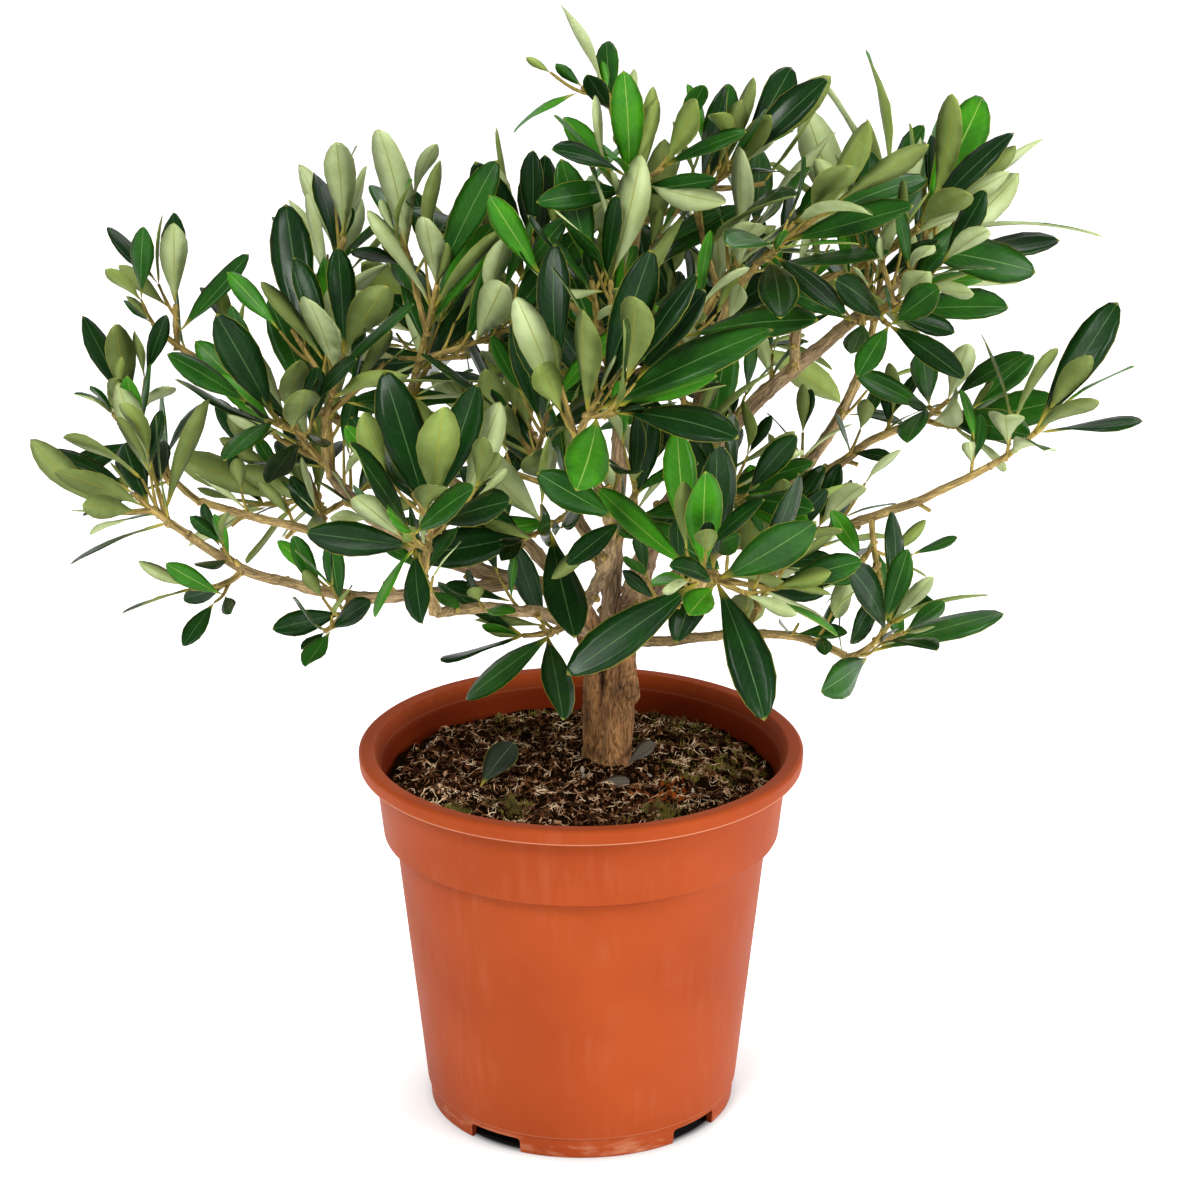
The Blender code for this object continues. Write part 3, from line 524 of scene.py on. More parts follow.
BOUGHS = {
    "left_bough": Limb("left_arm", 1, (-1, -0.2, 0.3), (-105, 20, 277), (-0.55, 0.05, 0.8), (7.5, 5)),
    "low_left_bough": Limb(
        "left_bough", 0.2, (-1, -0.3, -0.1), (-161, -30, 268), (-0.75, 0, 0.65), (6, 3.6)
    ),
    "elbow_bough": Limb("left_arm", 0.55, (-0.4, -0.7, 0.5), (-57, -76, 250), (-0.6, -0.6, 0.1), (5.5, 4.2)),
    "elbow_shoot": Limb("elbow_bough", 1, (-0.25, 0, 0.9), (-61, -82, 272), (0.15, 0, 1), (4.2, 3.2)),
    "back_left_bough": Limb("left_bough", 0.42, (-1, 0.6, 0.1), (-163, 35, 261), (-1, 0, 0.35), (5, 3.2)),
    "high_left_bough": Limb("left_arm", 0.9, (-0.6, 0.6, 0.7), (-160, 50, 318), (-1, 0, 0.45), (6, 3.4)),
    "front_bough": Limb("left_arm", 0.8, (0.25, -0.6, 0.6), (-1, -70, 314), (-0.5, -0.4, 0.75), (5.5, 4)),
    "centre_bough": Limb("trunk", 0.9, (0.1, 0.25, 1), (14, 30, 330), (-0.1, 0.05, 1), (8.5, 5)),
    "top_bough": Limb("centre_bough", 1, (0.15, -0.1, 1), (14, 16, 430), (-0.5, -0.05, 1), (5, 3)),
    "right_bough": Limb("right_arm", 1, (0.2, 0.1, 1), (133, 26, 361), (0.8, 0, 0.75), (9.5, 4.5)),
    "upright_bough": Limb("right_bough", 0.36, (-0.3, -0.4, 1), (60, 0, 356), (0.3, 0, 1), (5.5, 3.4)),
    "stub_bough": Limb("right_bough", 0.68, (-0.2, -0.3, 1), (93, 12, 368), (0, 0, 1), (4.6, 4.2)),
    "right_back_bough": Limb("right_arm", 0.9, (0.7, 0.5, 0.25), (123, 74, 314), (0.3, 0.1, 1), (8, 4)),
    "right_side_bough": Limb(
        "right_back_bough", 0.6, (0.8, -0.6, 0.2), (138, 30, 296), (0.9, -0.2, 0.3), (4.6, 3.2)
    ),
    "right_mid_bough": Limb(
        "right_back_bough", 0.32, (0.8, -0.8, 0.35), (168, -25, 296), (0.85, 0, 0.5), (5, 3)
    ),
    "low_right_bough": Limb(
        "right_arm", 0.55, (0.8, -0.6, 0.1), (108, -55, 224), (0.85, -0.3, -0.4), (4.6, 3.2)
    ),
    "star_bough": Limb("right_arm", 0.75, (0.2, -0.8, 0.5), (51, -95, 273), (0.3, -0.6, 0.6), (4.8, 3.8)),
    "back_bough": Limb("centre_bough", 0.2, (-0.2, 1, 0.6), (-30, 78, 300), (-0.2, 0.5, 0.8), (6.5, 3.6)),
    "back_right_bough": Limb("right_back_bough", 0.3, (0, 1, 0.4), (62, 98, 292), (0.1, 0.7, 0.7), (5, 3.4)),
}


def along(points, share):
    """The place and the direction at a share of a route's length."""
    legs = [(a, b, (b - a).length) for a, b in zip(points, points[1:])]
    left = share * sum(length for a, b, length in legs)
    for a, b, length in legs:
        if left <= length or b == points[-1]:
            break
        left -= length
    return a.lerp(b, min(left / length, 1)), (b - a).normalized()


def bend(start, heads, tip, enters, steps):
    """A smooth route that leaves start along heads and reaches tip along enters."""
    handle = CURVE_HANDLE * (tip - start).length
    leaving = start + handle * heads.normalized()
    arriving = tip - handle * enters.normalized()
    return interpolate_bezier(start, leaving, arriving, tip, steps + 1)


def tapering(foot, tip, steps):
    """Radii that shrink evenly from a limb's foot to its tip."""
    return [foot + (tip - foot) * i / steps for i in range(steps + 1)]


def route_limbs():
    """Every limb's route and its radii, by name, from the trunk up: the frame's own, and a finer one."""
    routes, finer = {}, {}
    for name, limb in {**TRUNK_LIMBS, **BOUGHS}.items():
        start = TRUNK_FOOT
        if limb.parent:
            start, towards = along(routes[limb.parent].points, limb.share)
            if limb.share == 1:
                start = start + GAP * towards
        ends = start, Vector(limb.heads), Vector(limb.tip), Vector(limb.enters)
        foot, tip = (thick / 2 for thick in limb.thick)
        finer_steps = max(8, round((ends[2] - start).length / BARK_STEP))
        for steps, into in ((LIMB_STEPS, routes), (finer_steps, finer)):
            into[name] = Shoot(bend(*ends, steps), tapering(foot, tip, steps))
    routes["trunk"].radii[0] *= ROOT_FLARE
    return routes, finer


def tube(shoot, sides, relief=None):
    """A tapering limb as a closed bmesh, a short cone whose end is extruded on from ring to ring. Relief is
    how far its skin stands out, from the direction round it and the distance along it. Each vertex keeps its
    place in the grain, which runs along the limb, and the girth there."""
    points, radii = shoot
    bm = bmesh.new()
    grain = bm.verts.layers.float_vector.new("grain")
    girth = bm.verts.layers.float.new("girth")
    bmesh.ops.create_cone(bm, cap_ends=True, segments=sides, radius1=1, radius2=1, depth=1)
    end = next(f for f in bm.faces if all(v.co.z > 0 for v in f.verts))
    circle = {v: Vector((v.co.x, v.co.y, 0)) for v in bm.verts}
    ring = [v for v in circle if v not in end.verts[:]]
    heading = (points[1] - points[0]).normalized()
    turn = heading.to_track_quat("Z", "Y")
    travelled = 0.0
    for i, (point, radius) in enumerate(zip(points, radii)):
        if i:
            travelled += (point - points[i - 1]).length
            towards = (points[min(i + 1, len(points) - 1)] - points[i - 1]).normalized()
            turn = heading.rotation_difference(towards) @ turn
            heading = towards
            if i > 1:
                corners = end.verts[:]
                end = bmesh.ops.extrude_discrete_faces(bm, faces=[end])["faces"][0]
                circle.update({new: circle[old] for new, old in zip(end.verts, corners)})
            ring = end.verts[:]
        for v in ring:
            out = radius + (relief(circle[v], travelled, radius) if relief else 0)
            v.co = point + turn @ (circle[v] * out)
            v[grain] = (circle[v].x * radius, circle[v].y * radius, travelled / GRAIN_STRETCH)
            v[girth] = radius
    for face in bm.faces:
        face.smooth = len(face.verts) == 4
    return bm


# Olive bark: matt and fibrous, with dark lines where it has split. Its colour goes by the girth of the limb:
# yellowish on this year's shoots, paler grey-tan on the boughs and brown on the trunk. Its raised ripples are
# painted lighter, painted highlights. On the trunk, the seam between the stems and the folds round the burl
# are painted darker, painted shade, beside small dark knots.
BARK_SHADES = [
    (0.0, "#ad9846"),
    (0.08, "#b39858"),
    (0.22, "#ae9370"),
    (0.45, "#a38667"),
    (0.8, "#a87c53"),
    (1.0, "#aa7a4d"),
]
olive_bark, tree, shader = finish("olive bark, fibrous", Roughness=0.86, Specular_IOR_Level=0.3)
fibres = node(tree, "Attribute", attribute_name="grain").outputs["Vector"]
width = node(tree, "Attribute", attribute_name="girth").outputs["Fac"]
age = node(tree, "MapRange", {0: width, 1: 0.6, 2: 10.0})
bark = node(tree, "ValToRGB", {0: age}, BARK_SHADES)
split = node(
    tree, "TexNoise", {"Vector": fibres, "Scale": 1.5, "Detail": 7.0, "Roughness": 0.68, "Distortion": 0.5}
)
crack = node(tree, "MapRange", {0: split, 1: 0.49, 2: 0.36, 3: 0.0, 4: 0.7})
cracked = node(tree, "MapRange", {0: width, 1: 1.2, 2: 7.0, 3: 0.3, 4: 1.0})
# dark knots, and painted shade in the trunk's seam and in the troughs of its folds
knots_and_painted_shade = node(tree, "Attribute", attribute_name="knots_and_painted_shade").outputs["Fac"]
depth = node(tree, "Math", {0: crack, 1: cracked, 2: knots_and_painted_shade}, operation="MULTIPLY_ADD")
swirl = node(tree, "TexNoise", {"Vector": fibres, "Scale": 0.26, "Detail": 3.0, "Distortion": 0.9})
lines = node(tree, "Math", {0: swirl, 1: 11.0}, operation="MULTIPLY")
ripple = node(tree, "Math", {0: lines, 1: 1.0}, operation="PINGPONG")
mottle = node(tree, "TexNoise", {"Vector": fibres, "Scale": 0.2, "Detail": 3.0})
patchy = node(tree, "MapRange", {0: mottle, 1: 0.38, 2: 0.62, 3: 0.32, 4: 1.02})
# the ripple's ridges, which the bump below raises, are painted lighter: painted highlights
tone = node(tree, "Math", {0: ripple, 1: 0.75, 2: patchy}, operation="MULTIPLY_ADD")
toned_with_painted_highlights = node(tree, "Mix", {0: 1.0, 6: bark, 7: tone}, data_type="RGBA", blend_type="MULTIPLY")
skin = node(tree, "Mix", {0: depth, 6: toned_with_painted_highlights, 7: linear("#1f1008")}, data_type="RGBA")
relief = node(tree, "Math", {0: ripple, 1: 0.6, 2: split}, operation="MULTIPLY_ADD")
rise = node(tree, "Bump", {"Height": relief, "Strength": 1.0, "Distance": 0.0009})
feed(shader, {"Base Color": skin, "Normal": rise})

routes, fine_routes = route_limbs()

# the two stems: foot, tip, and the radius at each
STEMS_MERGED = (
    ((7.2, 12.5, 148), (7.4, 13.5, 209), 7.0, 5.8),
    ((14.6, 12.0, 148), (16.8, 10.5, 210), 7.2, 7.1),
)
CORE = 0.84  # the radius of what fills the two stems' middle, as a share of the trunk's
SEAM_PLACE = 7.6  # where the two stems meet at the height below
SEAM_HEIGHT = 180.0
SEAM_SLANT = 0.15
SEAM_WIDTH = 1.2
SEAM_DEPTH = 3.0
SEAM_FADES = (168.0, 188.0)
TRUNK_GIRTH = 10.0  # the girth that its bark is coloured for, up to the fork
FORK_HEIGHT = 212.0
ARM_GIRTH = 4.0
TRUNK_SIDES = 20
TRUNK_STEPS = 8
FOOT_FLARE = (11.6, 9.4, 7.0)  # radius below and above, and height
SMOOTHINGS = 4
COLLAR_SIDES = 14
COLLAR_REACH = 2.6  # how long a bough's swollen collar is, in radii of the bough
COLLAR_WIDER = 0.42
WRINKLED = 9.0  # how far the bark is wrinkled round the first burl
PITS = ((12.5, 3.0, 187.6), (16.8, 4.5, 188.0), (19.4, 5.5, 185.2), (8.4, 3.0, 194.0))  # small dark knots
PIT_SIZE = 1.1
# lumps that the bark has grown over: place and radius
BURLS = (
    ((20.0, 8.4, 186.0), 5.2),
    ((21.0, 11.0, 181.5), 4.6),
    ((19.6, 8.6, 191.0), 4.4),
    ((17.8, 7.2, 176.0), 3.4),
    ((4.0, 6.0, 205.0), 4.0),
    ((8.6, 4.4, 158.0), 2.4),
    ((4.0, 12.0, 152.0), 3.6),
    ((18.0, 14.0, 152.0), 3.6),
    ((11.0, 5.6, 151.5), 3.2),
)


def wrinkle(place):
    """The folds of bark round the first burl, from -1 to 1."""
    from_burl = (place - Vector(BURLS[0][0])).length + 1.5 * noise.noise(place / 4)
    return math.sin(from_burl * 2.3) * math.exp(-((from_burl / WRINKLED) ** 2))


def bark_relief(place):
    """How far the trunk's bark stands out at a place: upright fibres on slow lumps."""
    fibre = Vector((place.x, place.y, place.z / GRAIN_STRETCH))
    ridges = noise.ridged_multi_fractal(fibre / 2.6, 0.9, 2.1, 4, 1.0, 2.0) - 1.0
    lumps = 0.75 * noise.noise(place / 8) + 0.4 * noise.noise(place / 3.2)
    return 0.42 * ridges + lumps + 0.4 * wrinkle(place)


def pit(place):
    """How near a place is to a small dark knot, from 0 to 1."""
    nearest = min((place - Vector(centre)).length for centre in PITS)
    return math.exp(-((nearest / PIT_SIZE) ** 2))


def seam(place):
    """How deep the seam between the two stems is at a place, from 0 to 1."""
    middle = SEAM_PLACE + SEAM_SLANT * (place.z - SEAM_HEIGHT) + 0.9 * noise.noise(place / 9)
    aside = (place.x - middle) / SEAM_WIDTH
    low, high = SEAM_FADES
    return math.exp(-aside * aside) * min(1, max(0, (place.z - low) / (high - low)))


stem_tubes = []
for name in TRUNK_LIMBS:
    points, radii = fine_routes[name]
    core = [CORE * radius for radius in radii] if name == "trunk" else radii
    stem_tubes.append(tube(Shoot(points, core), TRUNK_SIDES))
for foot, tip, wide, narrow in STEMS_MERGED:
    route = [Vector(foot).lerp(Vector(tip), i / TRUNK_STEPS) for i in range(TRUNK_STEPS + 1)]
    stem_tubes.append(tube(Shoot(route, tapering(wide, narrow, TRUNK_STEPS)), TRUNK_SIDES))
for name, limb in BOUGHS.items():  # each bough's swollen collar is part of the trunk's bark
    if limb.parent in TRUNK_LIMBS:
        points, radii = fine_routes[name]
        count = max(4, round(COLLAR_REACH * radii[0] / BARK_STEP))
        swell = tapering((1 + COLLAR_WIDER) * radii[0], radii[0], count)
        stem_tubes.append(tube(Shoot(points[: count + 1], swell), COLLAR_SIDES))
trunk_bm = bmesh.new()
for stem in stem_tubes:
    gather(trunk_bm, stem)
for centre, radius in BURLS:
    bmesh.ops.create_icosphere(trunk_bm, subdivisions=3, radius=radius, matrix=Matrix.Translation(centre))
low, high, tall = FOOT_FLARE
bmesh.ops.create_cone(
    trunk_bm,
    cap_ends=True,
    segments=TRUNK_SIDES,
    radius1=low,
    radius2=high,
    depth=tall,
    matrix=Matrix.Translation(TRUNK_FOOT + Vector((0, 0, 1.5))),
)
trunk = piece("trunk_bark", trunk_bm, olive_bark)
voxels = trunk.modifiers.new("grown together", "REMESH")
voxels.mode = "VOXEL"
voxels.voxel_size = BARK_VOXEL * METRES
bpy.context.view_layer.update()
one_skin = bpy.data.meshes.new_from_object(trunk.evaluated_get(bpy.context.evaluated_depsgraph_get()))
bpy.data.objects.remove(trunk)
trunk_bm = bmesh.new()
trunk_bm.from_mesh(one_skin)
bmesh.ops.scale(trunk_bm, vec=(1 / METRES,) * 3, verts=trunk_bm.verts)
for _ in range(SMOOTHINGS):
    bmesh.ops.smooth_vert(
        trunk_bm, verts=trunk_bm.verts, factor=0.5, use_axis_x=True, use_axis_y=True, use_axis_z=True
    )
grain = trunk_bm.verts.layers.float_vector.new("grain")
girth = trunk_bm.verts.layers.float.new("girth")
knots_and_painted_shade = trunk_bm.verts.layers.float.new("knots_and_painted_shade")
trunk_bm.normal_update()
outward = {v: v.normal.copy() for v in trunk_bm.verts}
for v, direction in outward.items():
    v[grain] = (v.co.x, v.co.y, v.co.z / GRAIN_STRETCH)
    v[girth] = max(ARM_GIRTH, TRUNK_GIRTH - max(0, v.co.z - FORK_HEIGHT) / 3)
    # painted shade in the seam between the stems and in the troughs of the folds round the burl; the knots
    # are dark of themselves
    v[knots_and_painted_shade] = min(0.85, 0.8 * seam(v.co) + 0.9 * pit(v.co) + 0.5 * max(0, -wrinkle(v.co)))
    v.co += direction * (bark_relief(v.co) - SEAM_DEPTH * seam(v.co))
for face in trunk_bm.faces:
    face.smooth = True
trunk = piece("trunk_bark", trunk_bm, olive_bark)
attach(trunk, "root")
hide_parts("trunk")

# ---------------------------------------------------------------- boughs
# Long thin olive boughs, pruned often: each is ringed by the scars of its old leaf pairs, bends a little at
# them, and carries the dry stubs of cut side shoots.

BOUGH_SIDES = 12
SCAR_SPACING = 13.0
SCAR_WIDTH = 1.3
SCAR_SWELL = 0.16
COLLAR_SWELL = 0.35
STUB_SPACING = 45
STUB_CHANCE = 0.8
STUB_SIDES = 8
SWAY = 1.3


def bough_relief(seed):
    """The relief of one bough: leaf scars, slow swellings and fine fibres, of its own seed."""
    shift = Vector((seed * 3.7, seed * 1.3, 0))

    def relief(unit, travelled, radius):
        from_scar = (travelled + 0.4 * SCAR_SPACING) % SCAR_SPACING - SCAR_SPACING / 2
        scar = SCAR_SWELL * math.exp(-((from_scar / SCAR_WIDTH) ** 2)) * (0.7 + 0.6 * abs(unit.x))
        collar = COLLAR_SWELL * math.exp(-travelled / (1.6 * radius))
        fibre = Vector((unit.x * radius, unit.y * radius, travelled / GRAIN_STRETCH)) / 1.5 + shift
        lump = 0.07 * noise.noise(unit * 1.4 + shift + Vector((0, 0, travelled / 7)))
        return radius * (scar + collar + lump) + 0.14 * noise.noise(fibre)

    return relief


def wander(points, dice):
    """A route that strays a little from its line, as it does from one leaf pair to the next."""
    shift = Vector([dice.uniform(0, 50) for _ in range(3)])
    last = len(points) - 1
    return [
        p + SWAY * math.sin(math.pi * i / last) * noise.noise_vector(p / 16 + shift)
        for i, p in enumerate(points)
    ]


boughs_bm = bmesh.new()
for seed, name in enumerate(BOUGHS):
    dice = random.Random(seed)
    points, radii = fine_routes[name]
    gather(boughs_bm, tube(Shoot(wander(points, dice), radii), BOUGH_SIDES, bough_relief(seed)))
    spaces = int(len(points) * BARK_STEP / STUB_SPACING)
    for i in range(2 + spaces):
        share = (i + dice.uniform(0.5, 1.2)) / (2.6 + spaces)
        if dice.random() > STUB_CHANCE:
            continue
        place, axis = along(points, share)
        width = radii[int(share * (len(radii) - 1))]
        side = Quaternion(axis, dice.uniform(0, math.tau)) @ axis.orthogonal().normalized()
        heads = (side + 0.7 * axis).normalized()
        stub_length = width + dice.uniform(1.5, 6.5)
        stub = [place + heads * stub_length * s for s in (0, 0.4, 0.7, 0.94, 1)]
        around = [width * k * dice.uniform(0.9, 1.1) for k in (0.7, 0.55, 0.5, 0.52, 0.4)]
        gather(boughs_bm, tube(Shoot(stub, around), STUB_SIDES, bough_relief(seed + 50)))
boughs = piece("bough_bark", boughs_bm, olive_bark)
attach(boughs, "root")
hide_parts(*BOUGHS)

# ---------------------------------------------------------------- growth
# Every mass of foliage grows from one stem by the rule that its solid followed: side twigs by the golden
# angle, and leaves in opposite pairs. Here the rule goes on to this year's short side shoots, to the bud at
# the end of each, and to leafy spurs on the boughs.

Leaf = namedtuple("Leaf", "root along up length width curl")
Body = namedtuple("Body", "owner centre radius tree")
Mass = namedtuple("Mass", "limb share grows reach twigs leaf seed")
Growth = namedtuple("Growth", "at shoots leaves small_shoots small_leaves")

UP = Vector((0, 0, 1))

MASSES = {
    "low_left_tip": Mass("low_left_bough", 1, (-1.1, 0.25, 0.8), 27, 2, 51, 835),
    "low_left_under": Mass("low_left_bough", 0.82, (-1.1, -0.45, -0.2), 21, 0, 39, 48),
    "low_left_middle": Mass("low_left_bough", 0.5, (-0.3, -0.8, -0.2), 25, 0, 50, 558),
    "back_left_tip": Mass("back_left_bough", 1, (-0.6, 0.05, 0.9), 47, 2, 47, 298),
    "left_side": Mass("left_bough", 0.94, (-0.65, 0.25, 0.7), 36, 3, 59, 939),
    "left_upright": Mass("left_bough", 1, (0.15, -0.35, 1), 61, 3, 60, 821),
    "high_left_tip": Mass("high_left_bough", 1, (-0.7, -0.1, 0.6), 28, 1, 50, 776),
    "high_left_up": Mass("high_left_bough", 0.8, (0.45, 0.45, 1.25), 71, 1, 48, 608),
    "high_left_inner": Mass("high_left_bough", 0.55, (0.15, -0.25, 0.55), 90, 4, 58, 585),
    "elbow_tip": Mass("elbow_shoot", 1, (0.15, -0.35, 0.85), 30, 3, 60, 313),
    "front_tip": Mass("front_bough", 1, (0.25, -0.35, 0.75), 34, 2, 69, 223),
    "front_side": Mass("front_bough", 0.5, (0.15, -0.55, 0.7), 42, 1, 47, 890),
    "trunk_front": Mass("left_arm", 0.75, (-0.9, -0.55, -0.05), 24, 1, 55, 273),
    "centre_left": Mass("centre_bough", 0.45, (-0.55, -0.45, 0.7), 75, 3, 54, 630),
    "centre_front": Mass("centre_bough", 0.75, (-0.05, -0.6, 1.05), 86, 3, 59, 529),
    "centre_right": Mass("centre_bough", 0.9, (0.55, -0.2, 0.7), 81, 4, 60, 758),
    "top_left": Mass("centre_bough", 0.92, (-0.6, 0.3, 0.65), 62, 3, 60, 953),
    "top_tip": Mass("top_bough", 1, (-0.2, 0, 0.8), 11, 1, 46, 12),
    "top_front": Mass("top_bough", 0.72, (-0.1, -0.9, 0.35), 30, 1, 52, 853),
    "top_side": Mass("top_bough", 0.55, (0.9, 0.25, 0.55), 50, 2, 54, 730),
    "upright_tip": Mass("upright_bough", 1, (0.8, -0.85, 1.3), 55, 3, 66, 337),
    "stub_side": Mass("stub_bough", 0.9, (0.75, 0.05, 0.4), 50, 2, 68, 330),
    "right_tip": Mass("right_bough", 1, (0.7, 0, 0.8), 44, 2, 66, 435),
    "right_top": Mass("right_bough", 0.85, (0.6, -0.85, 0.65), 48, 3, 48, 790),
    "right_back_tip": Mass("right_back_bough", 1, (0.1, 0.3, 0.55), 56, 2, 58, 217),
    "right_side_tip": Mass("right_side_bough", 1, (0.5, -0.45, 0.5), 25, 2, 54, 325),
    "right_mid_tip": Mass("right_mid_bough", 1, (0.35, -0.15, 0.35), 23, 0, 69, 760),
    "right_mid_under": Mass("right_mid_bough", 0.6, (0.1, -0.95, -0.75), 32, 2, 39, 747),
    "right_inner": Mass("right_bough", 0.3, (0.4, -1.25, 0.3), 60, 2, 56, 844),
    "low_right_tip": Mass("low_right_bough", 1, (0.85, -0.15, 0.8), 23, 2, 64, 758),
    "low_right_middle": Mass("low_right_bough", 0.6, (0.35, 0.45, 0.6), 39, 3, 52, 90),
    "star_tip": Mass("star_bough", 1, (0.15, -0.8, 0.1), 12, 2, 70, 661),
    "star_side": Mass("star_bough", 0.6, (0.9, -0.1, 0.55), 44, 1, 45, 933),
    "back_tip": Mass("back_bough", 1, (-1.2, 0.75, 0.55), 52, 4, 59, 916),
    "back_up": Mass("back_bough", 0.7, (-0.35, -0.65, 1.2), 60, 4, 57, 921),
    "back_right_tip": Mass("back_right_bough", 1, (0.45, 0.6, 1.05), 49, 4, 54, 501),
    "back_right_up": Mass("back_right_bough", 0.75, (-0.25, 0, 0.35), 71, 3, 55, 172),
    "back_left_low": Mass("back_left_bough", 0.55, (-0.2, 0.9, 0.25), 45, 2, 45, 245),
}

STEM_THICK = 3.4  # the thickest that a mass's stem is at its foot
STEM_SHRINK = 0.95  # a stem's foot, as a share of the limb's tip that it goes on from
SIDE_STEM = 0.7  # a stem's foot, as a share of the limb that it stands on
TWIG_THICK = 2.7
TWIG_TIP = 2.0
STEM_STEPS = 3
TWIG_STEPS = 2
TWIG_SHARE = 0.75  # a side twig's length, as a share of its stem's reach
SHORTEST_TWIG = 16.0
TWIG_FROM = 0.15  # share of the stem where its side twigs begin
TWIG_SPREAD = 0.65
TWIG_ANGLE = 48  # degrees between a twig and its stem
GOLDEN_ANGLE = 137.5
LIFT = 0.35  # how much a twig turns up towards the light
FIRST_NODE = 0.3  # leaves start at this share of a shoot's length
LAST_NODE = 0.98
NODE_SPACING = 12.5
OPEN_AT_FOOT = 62  # degrees between a leaf and its shoot
OPEN_AT_TIP = 24
LEAF_CHANCE = 0.9
LEAF_LIFT = 0.12
TOWARDS_LIGHT = 0.4
LEAF_WIDTH = 0.31  # of the leaf's length
LEAF_THICK = 1.4
LEAF_SHOULDERS = ((0.34, 0.84), (0.7, 0.96))  # share of the length, share of the half width
CLEARANCE = 1.5  # kept all round a leaf or a twig
SQUARED = 1.2  # how much wider the square tube that stands for a round limb is
TWIG_CLEAR_FROM = 0.3
SIBLING_START = 0.28  # leaves of one mass may touch up to this share of their length
STRANGER_START = 0.06
ROOM_SHARE = 0.85  # how far beyond its stem a mass's space reaches, in leaf lengths
LOWEST_LEAF = POT_HEIGHT + 2
CROWN_DEPTH = 300.0  # front to back


def route_length(points):
    """How long a route is."""
    return sum((b - a).length for a, b in zip(points, points[1:]))


def square_to(axis, direction):
    """A direction, turned just enough to be square to an axis."""
    return (direction - direction.dot(axis) * axis).normalized()


def opened(axis, across, opening):
    """A direction that opens by an angle from an axis towards another across it."""
    return math.cos(opening) * axis + math.sin(opening) * across


def stem_of(mass, routes):
    """A mass's stem: it goes on from a limb's tip, or stands on a limb's side."""
    limb = routes[mass.limb]
    place, axis = along(limb.points, mass.share)
    heads = Vector(mass.grows).normalized()
    if mass.share == 1:
        thick = 2 * limb.radii[-1] * STEM_SHRINK
        start = place + GAP * axis
        onward = axis
    else:
        radius = limb.radii[0] + (limb.radii[-1] - limb.radii[0]) * mass.share
        onward = square_to(axis, heads)
        thick = 2 * radius * SIDE_STEM
        start = place + (radius + GAP) * onward
    foot = min(thick, STEM_THICK) / 2
    points = bend(start, onward, start + mass.reach * heads, heads + LIFT * UP, STEM_STEPS)
    slant = onward.angle(points[1] - points[0])
    points = [p + foot * math.sin(slant) * onward for p in points]
    return Shoot(points, tapering(foot, TWIG_TIP / 2, STEM_STEPS))


def turned_about(axis, degrees):
    """A direction square to an axis, turned round it."""
    return Quaternion(axis, math.radians(degrees)) @ axis.orthogonal().normalized()


def twigs_of(stem, mass, dice):
    """A mass's side twigs, set round its stem by the golden angle and turning up to the light."""
    first = dice.uniform(0, 360)
    for i in range(mass.twigs):
        share = TWIG_FROM + TWIG_SPREAD * (i + 0.5) / mass.twigs
        start, axis = along(stem.points, share)
        opening = math.radians(TWIG_ANGLE + dice.uniform(-10, 10))
        heads = opened(axis, turned_about(axis, first + GOLDEN_ANGLE * i), opening)
        length = mass.reach * TWIG_SHARE * (1 - 0.4 * share) * dice.uniform(0.85, 1.15)
        length = max(length, SHORTEST_TWIG)
        tip = start + length * (heads + LIFT / 2 * UP).normalized()
        points = bend(start, heads, tip, heads + LIFT * UP, TWIG_STEPS)
        yield Shoot(points, tapering(TWIG_THICK / 2, TWIG_TIP / 2, TWIG_STEPS))


def leaves_of(shoot, mass, dice, open_share=1.0):
    """Leaves in opposite pairs, each pair a quarter turn on from the last, closing up towards the tip."""
    pairs = max(2, round((1 - FIRST_NODE) * route_length(shoot.points) / NODE_SPACING) + 1)
    turn = dice.uniform(0, 360)
    for i in range(pairs):
        share = FIRST_NODE + (LAST_NODE - FIRST_NODE) * i / (pairs - 1)
        root, axis = along(shoot.points, share)
        across = turned_about(axis, turn + 90 * i + dice.uniform(-15, 15))
        for side in (1, -1):
            degrees = OPEN_AT_FOOT + (OPEN_AT_TIP - OPEN_AT_FOOT) * share + dice.uniform(-10, 10)
            opening = math.radians(degrees) * open_share
            size = mass.leaf * dice.uniform(0.75, 1.12) * (1 - 0.2 * abs(2 * share - 1.2))
            width = size * LEAF_WIDTH * dice.uniform(0.88, 1.12)
            curl = dice.uniform(-0.15, 0.55)
            roll = math.radians(dice.uniform(-30, 30))
            grows = dice.random() < LEAF_CHANCE
            heads = (opened(axis, side * across, opening) + LEAF_LIFT * UP).normalized()
            facing = square_to(heads, axis + TOWARDS_LIGHT * UP)
            if grows:
                yield Leaf(root, heads, Quaternion(heads, roll) @ facing, size, width, curl)


def leaf_point(leaf, share, sideways=0.0, above=0.0):
    """A point on a leaf: a share of the way along its curl, off to one side of its rib, and above it."""
    angle = leaf.curl * share
    if abs(leaf.curl) < 1e-3:
        ahead, down = share, 0.0
    else:
        ahead, down = math.sin(angle) / leaf.curl, (1 - math.cos(angle)) / leaf.curl
    normal = math.cos(angle) * leaf.up + math.sin(angle) * leaf.along
    side = leaf.along.cross(leaf.up)
    place = leaf.root + leaf.length * (ahead * leaf.along - down * leaf.up)
    return place + sideways * side + above * normal


def prism_faces(rings, sides):
    """The faces of a tube of rings, with both ends closed."""
    walls = []
    for ring in range(rings - 1):
        low, high = sides * ring, sides * (ring + 1)
        for i in range(sides):
            j = (i + 1) % sides
            walls.append((low + i, low + j, high + j, high + i))
    last = sides * (rings - 1)
    return walls + [tuple(range(sides)), tuple(range(last, last + sides))]


